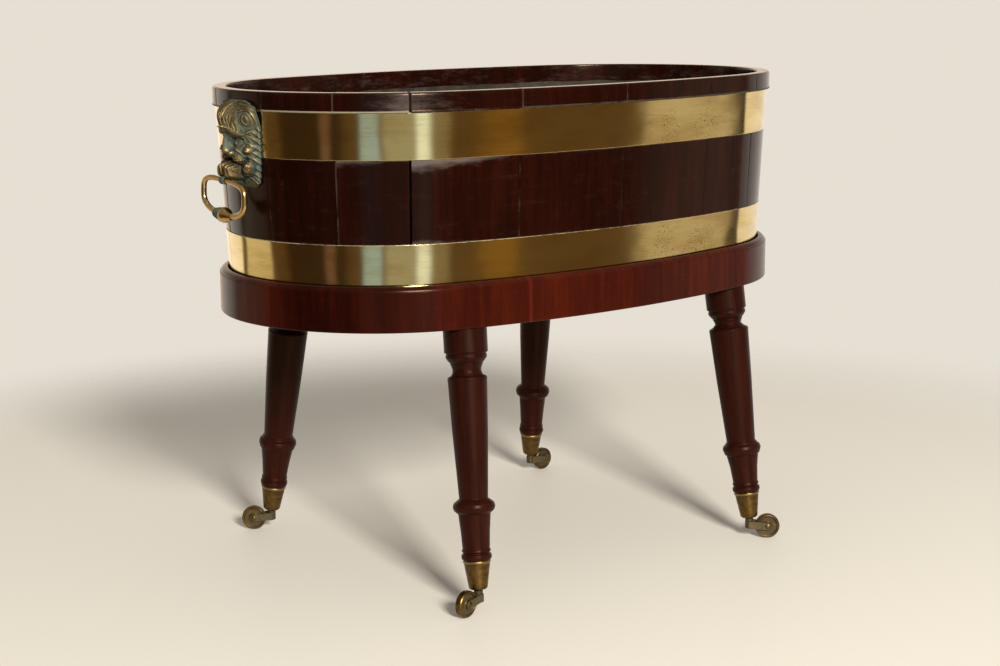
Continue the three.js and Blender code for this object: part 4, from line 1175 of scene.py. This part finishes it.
def maskRelief(x, y):
    s = maskSizes
    x = x + 0.3 * np.sin(y * 0.21 + 1.3)
    y = y + 0.3 * np.sin(x * 0.17 + 0.4)
    side = np.abs(x)
    dome = s["dome"] * (1 - unit(side / s["domeHalf"]) ** 1.5)
    above = unit((y - 10) / 34.5) ** 4
    below = unit((-5 - y) / 37) ** 1.2
    height = dome * (1 - above - below)

    def hole(cx, cy, halfX, halfY, deep):
        return deep * mound(side, y, cx, cy, halfX, halfY, 1.4)

    for hollow in maskHollows:
        height = height - hole(*hollow)
    # the nose grows in width and height from the brow down to its round tip
    drop = unit((17 - y) / 27)
    wide = 2.8 + 3.6 * drop**2
    nose = (19.0 + 6.4 * drop**1.1) * (1 - unit(side / wide) ** 2) ** 0.28
    nose = nose * unit(1 - unit((-4.5 - y) / 6.2) ** 2) ** 0.4 * (y < 17)
    height = smoothMax(height, nose, 1.0)
    for *ellipse, top, soft in maskForms.values():
        height = smoothMax(height, top * mound(side, y, *ellipse, 0.5) ** 0.55, soft)
    for cx, cy in maskMouth:
        height = height - hole(cx, cy, 3.6, 2.8, 6.4)
    for nostril in maskNostrils:
        height = height - hole(*nostril)
    # the eye
    ball = hole(11.2, 2.4, 5.0, 3.5, 1) ** 0.5 * 4.2
    height = np.maximum(height, height + ball - hole(11.4, 2.4, 1.3, 1.5, 2.0))
    for ridge in maskRidges.values():
        height = height + lockOver(side, y, *ridge)
    # whiskers: rows of small beads on the pads
    for row in range(3):
        for k in range(4):
            cx, cy = 6.4 + k * 2.3 + row * 0.8, -9.6 - row * 2.5 - 0.25 * k
            height = height + 1.15 * unit(1 - np.hypot(side - cx, y - cy) / 1.05) ** 0.6
    # the jowl's curl
    cx, cy = maskForms["jowl"][:2]
    turn = np.arctan2(y - cy, side - cx)
    reach = np.hypot((side - cx) / 0.8, y - cy)
    inside = unit((8.6 - reach) / 1.2)
    height = height - inside * 1.3 * unit(np.cos(2 * math.pi * (reach / 2.3 - turn / 6.3))) ** 2

    locks = np.zeros_like(x)
    for lock in hairLocks():
        locks = np.maximum(locks, lockOver(side, y, *lock))
    # beard: two tufts of upright strands, parted in the middle and turned in at the foot
    upper = -14.8 - 0.25 * side - 0.075 * np.maximum(side - 4, 0) ** 2
    lower = -34.6 + 0.35 * np.maximum(side - 7, 0)
    down = unit((upper - y) / np.maximum(upper - lower, 1))
    across = unit(np.abs(side - 5.2) / 6.6)
    tuft = unit(1 - np.abs(2 * down - 1) ** 5) ** 0.6 * (1 - across**2) ** 0.2
    strand = np.cos(2 * math.pi * ((side + 0.05 * (y + 24) * (side - 6)) / 2.7 + 0.35))
    beard = 27.0 * tuft * (1 - 0.2 * unit(strand) ** 1.5)
    height = smoothMax(height, beard, 0.5)
    height = height + locks * (1 - unit(tuft * 1.6))
    # the ear: a raised rim round a dish, and a small leaf in it
    cx, cy = 22.8, 25.0
    away = np.hypot((side - cx) / 7.4, (y - cy) / 10.0)
    turn = np.arctan2(y - cy, side - cx)
    flap = 0.8 + 2.2 * unit(np.cos(turn - 0.6))
    ear = flap * unit(1 - ((away - 0.9) / 0.18) ** 2) ** 0.6
    plain = dome * (1 - above)
    loop = np.hypot((side - cx) / 2.7, (y - cy) / 4.6)
    dish = plain * 0.8 + 2.2 + 2.2 * unit(1 - (away / 0.74) ** 2) ** 0.6
    dish = dish - 1.1 * unit(1 - ((loop - 0.9) / 0.3) ** 2)
    height = np.where(away < 1.08, plain * 0.8 + 1.2 + ear, height)
    height = np.where(away < 0.74, dish, height)
    return np.maximum(height, 0.2) + s["edge"]


def blurred(field, reach):
    count = int(reach * 3)
    weights = np.exp(-0.5 * (np.arange(-count, count + 1) / reach) ** 2)
    weights /= weights.sum()
    for axis in (0, 1):
        padded = np.pad(field, [(count, count) if a == axis else (0, 0) for a in (0, 1)], mode="edge")
        spans = [np.take(padded, range(k, k + field.shape[axis]), axis) for k in range(len(weights))]
        field = sum(weight * span for weight, span in zip(weights, spans))
    return field


def carveMask():
    s = maskSizes
    ends = [(s[key] - s["middle"]) * perMetre for key in ("bottom", "top")]
    up = np.linspace(*ends, s["rows"] + 1)
    half = np.interp(up, *zip(*s["outline"]))
    # the tips of the mane stand out from the edge
    since = (s["lastTip"] - up) / s["lockPitch"] % 1
    fringe = unit((s["lastTip"] + 3 - up) / 6) * unit((up - s["firstTip"]) / 3 + 1)
    half = half - 1.7 * fringe * unit(np.sin(math.pi * since) ** 0.8 * (1 - since) * 1.6)
    x = np.linspace(-1, 1, s["columns"] + 1)[None, :] * half[:, None]
    y = np.repeat(up[:, None], s["columns"] + 1, axis=1)
    relief = maskRelief(x, y)
    relief += 0.05 * np.sin(x * 3.1 + np.sin(y * 1.7) * 2) * np.sin(y * 2.7 + np.sin(x * 2.1) * 2)
    fine, broad = (blurred(relief, reach) - relief for reach in (3, 11))
    hollow = np.clip(0.4 + fine * 0.5 + broad * 0.13, 0, 1.5)
    wear = unit(-fine * 0.8 - broad * 0.07 - 0.1)

    def zone(*ellipse):
        return mound(np.abs(x), y, *ellipse, 0.5)

    # hands and polish have kept the brow and the cheeks bright, and little else; the beard and jowl get
    # more green and dirt, partly as painted shade over the beard, and the nose's bridge is kept dark
    dull = np.maximum(zone(5, -27, 15, 14), zone(18, -23, 10, 11))
    wear = wear * (1 - 0.85 * np.maximum(dull, 0.8 * zone(19, 25, 8, 13)))
    hair = unit((y - 13) / 6) * (1 - 0.6 * zone(22.8, 25, 9, 11))
    bridge = zone(0, 4, 4.6, 11)
    wear = wear * (1 - 0.8 * bridge)
    # the extra green and dirt over the beard and jowl is partly painted shade
    hollow = 0.45 + (hollow - 0.45) * (1 + 1.1 * dull) + 0.05 * dull
    hollow = (hollow + 0.5 * bridge) * (1 - 0.45 * hair)
    return up, x, relief, wear, hollow


def maskGround(height):
    # the wall of the tub, and over it the proud rim
    near = min(1.0, max(0.0, (height - 0.484) / 0.0195))
    near = near * near * (3 - 2 * near)
    return (wall(height) + 0.0005) * (1 - near) + rimOffset * near + 0.0003


def lugShapes(sign):
    # the lug under the chin that the ring swings in, and the web that carries it
    s, standOff = maskSizes, ringSizes["standOff"]
    half, middle = s["lugWidth"] / 2, Matrix.Translation(ringPivot(sign))
    bore, radius = s["lugBore"], s["lugRadius"]
    rows = softened([(bore, -half, 0), (radius, -half, 0.0009), (radius, half, 0.0009), (bore, half, 0)])
    lug = placed(turned(rows, s["lugSides"], closed=True), middle @ lying)
    reach = standOff - (bore + radius) / 2
    web = [(0, -0.0052), (reach, -0.0018), (reach + 0.0002, 0.0026), (0, 0.0062)]
    web = [(-sign * (out - standOff), up) for out, up in web]
    web = slab(web, -half + 0.0006, half - 0.0006, 0.0005)
    web = placed(web, middle @ Matrix.Scale(-1, 4, (1, 0, 0)))
    for shape, deep in ((lug, 0.7), (web, 0.9)):
        shape["hollow"] = [deep] * len(shape["points"])
    return lug, web


def makeMask(name, share, sign, carving):
    s = maskSizes
    rows, columns, step = s["rows"], s["columns"], s["backStep"]
    up, x, relief, wear, hollow = carving
    shape = newShape()

    def add(row, aside, rise, worn=0.0, deep=1.0):
        height = s["middle"] + up[row] / perMetre
        out = maskGround(height) + rise / perMetre
        point = ovalAt(share + aside / perMetre / ovalRun, out, height)
        addPoint(shape, point, (aside / perMetre, height, rise / perMetre), worn, deep)

    for row in range(rows + 1):
        for column in range(columns + 1):
            add(row, x[row, column], relief[row, column], wear[row, column], hollow[row, column])
    front = columns + 1
    back = len(shape["points"])
    stops = list(range(0, columns + 1, step))
    for row in range(rows + 1):
        for column in stops:
            add(row, x[row, column], 0.0)
    behind = len(stops)
    faces = shape["faces"]
    for row in range(rows):
        for column in range(columns):
            a = row * front + column
            faces.append((a, a + 1, a + front + 1, a + front))
        for k in range(behind - 1):
            a = back + row * behind + k
            faces.append((a, a + behind, a + behind + 1, a + 1))
        for column, k in ((0, 0), (columns, behind - 1)):
            a, b = row * front + column, back + row * behind + k
            edge = (a, a + front, b + behind, b)
            faces.append(edge if column == 0 else edge[::-1])
    for row in (0, rows):
        for k in range(behind - 1):
            a, b = row * front + stops[k], back + row * behind + k
            edge = (*range(a, a + step + 1), b + 1, b)
            faces.append(edge[::-1] if row == 0 else edge)
    whole = joined(shape, *lugShapes(sign))
    newPiece(f"{name}_lion_mask", "cast", whole, "tub", maskBronze, sharp=60)


carved = carveMask()
makeMask("left", 0.5, -1, carved)
makeMask("right", 0.0, 1, carved)
print("lion masks carved")


# The studio: a pale floor that fades into a pale background, soft daylight from the front

studio = {
    "background": "e6dfd3", "floor": "e2ddd1", "floorRadius": 1.3, "fadeFrom": 0.75,
    "rings": 12, "spokes": 64, "keyFrom": 199, "keyHeight": 26, "keyDistance": 6.0,
    "keySize": 1.2, "keyPower": 560, "topPlace": (0.2, -0.2, 2.6), "topSize": 2.4, "topPower": 6,
    "sky": 0.33, "boards": "5f4a2e", "seam": 66,
}
# what the polish sees round the room: compass degrees from the back, softness, tone, strength
roomSides = [
    ("palePanel", -53, -23, 2, "dccfae", 1.0),
    ("backWall", -17, 10, 3, "fff6e6", 1.15),
    ("leftWall", 10, 50, 10, "ffe6cc", 1.35),
    ("rightWall", 50, 105, 3, "fff8ec", 1.0),
    ("doorEdge", 105.5, 110.2, 1, "17130b", 1.0),
    ("farWall", 110.6, 132.5, 3, "c8bea9", 1.0),
    ("darkChest", 156, 163, 2, "86662f", 1.0),
    ("curtain", 173, 187, 8, "8a8068", 1.0),
    ("mainWindow", 187, 198, 7, "dcecff", 1.35),
    ("windowSide", 198, 219, 7, "a8a79b", 1.0),
    ("sideWindow", 221, 234, 4, "a4c2e0", 1.0),
    ("darkRoom", 246, 292, 9, "3c2c1c", 1.0),
    ("copperGleam", 254, 261, 4, "765e51", 1.0),
]


def makeRoom():
    s = studio
    world = bpy.data.worlds.new("studioRoom")
    bpy.context.scene.world = world
    world.use_nodes = True
    bench = NodeBench(world.node_tree, world.node_tree.nodes["Background"])
    ray = bench.node("ShaderNodeTexCoord")
    x, y, z = (bench.node("ShaderNodeSeparateXYZ", None, {0: ray}, output=axis) for axis in range(3))
    bearing = bench.node("ShaderNodeMath", {"operation": "ARCTAN2"}, {0: x, 1: y})
    compass = bearing * (180 / math.pi) + (360 + s["seam"])
    around = bench.node("ShaderNodeMath", {"operation": "MODULO"}, {0: compass, 1: 360.0})
    room = tone(s["boards"])
    for name, start, end, soft, colour, strength in roomSides:
        first, last = start + s["seam"], end + s["seam"]
        side = bench.between(around, first - soft / 2, first + soft / 2)
        side = side * (1 - bench.between(around, last - soft / 2, last + soft / 2))
        room = bench.blend(side, room, (*(strength * part for part in tone(colour)[:3]), 1))
    sky = bench.between(z, 0.05, 0.5)
    seen = bench.blend(sky, room, (s["sky"], s["sky"] * 0.98, s["sky"] * 0.94, 1))
    seen = bench.blend(bench.node("ShaderNodeLightPath"), seen, s["background"])
    bench.feed(Color=seen)


def addLamp(name, place, size, power):
    light = bpy.data.lights.new(name, "AREA")
    light.shape = "SQUARE"
    light.size = size
    light.energy = power
    light.color = (1.0, 0.96, 0.9)
    lamp = newObject(name, light)
    lamp.location = place
    lamp.rotation_euler = (Vector((0, 0, 0.3)) - place).to_track_quat("-Z", "Y").to_euler()
    lamp.visible_camera = False


def makeLamps():
    s = studio
    bearing, lift = math.radians(s["keyFrom"]), math.radians(s["keyHeight"])
    towards = Vector((math.sin(bearing), math.cos(bearing), 0)) * math.cos(lift)
    towards.z = math.sin(lift)
    addLamp("windowLight", towards * s["keyDistance"], s["keySize"], s["keyPower"])
    addLamp("ceilingLight", Vector(s["topPlace"]), s["topSize"], s["topPower"])


def makeFloor():
    s = studio
    mesh = bpy.data.meshes.new("studioFloor")
    rings, spokes = s["rings"], s["spokes"]
    points = [(0, 0, 0)]
    for i in range(1, rings + 1):
        for j in range(spokes):
            turn = 2 * math.pi * j / spokes
            reach = s["floorRadius"] * i / rings
            points.append((reach * math.cos(turn), reach * math.sin(turn), 0))
    faces = [(0, 1 + j, 1 + (j + 1) % spokes) for j in range(spokes)]
    for i in range(rings - 1):
        for j in range(spokes):
            k = (j + 1) % spokes
            a, b = 1 + i * spokes, 1 + (i + 1) * spokes
            faces.append((a + j, b + j, b + k, a + k))
    mesh.from_pydata(points, [], faces)
    floor = newObject("studioFloor", mesh)
    bench = newFinish("paleFloor", Base_Color=tone(s["floor"]), Roughness=0.55)
    place = bench.node("ShaderNodeTexCoord", output=3)
    reach = bench.node("ShaderNodeVectorMath", {"operation": "LENGTH"}, {0: place}, 1)
    bench.feed(Alpha=1 - bench.between(reach, s["fadeFrom"], s["floorRadius"] * 0.98))
    mesh.materials.append(bench.material)


makeRoom()
makeLamps()
makeFloor()

cameraSizes = {
    "place": (-1.32850, -1.62735, 0.63286), "yaw": 39.04, "pitch": 10.73, "roll": -0.52, "lens": 68.0,
}


def makeCamera():
    s = cameraSizes
    yaw, pitch, roll = (math.radians(s[key]) for key in ("yaw", "pitch", "roll"))
    level = math.cos(pitch)
    ahead = Vector((math.sin(yaw) * level, math.cos(yaw) * level, -math.sin(pitch)))
    right = Vector((math.cos(yaw), -math.sin(yaw), 0))
    up = right.cross(ahead)
    side = right * math.cos(roll) + up * math.sin(roll)
    top = up * math.cos(roll) - right * math.sin(roll)
    view = bpy.data.cameras.new("photographCamera")
    view.lens = s["lens"]
    view.sensor_width = 36
    camera = newObject("photographCamera", view)
    turn = Matrix((side, top, -ahead)).transposed().to_4x4()
    camera.matrix_world = Matrix.Translation(s["place"]) @ turn
    bpy.context.scene.camera = camera


makeCamera()
bpy.context.scene.view_settings.view_transform = "Standard"
print("studio and camera made")


def plain(box):
    return [[float(value) for value in corner] for corner in box]
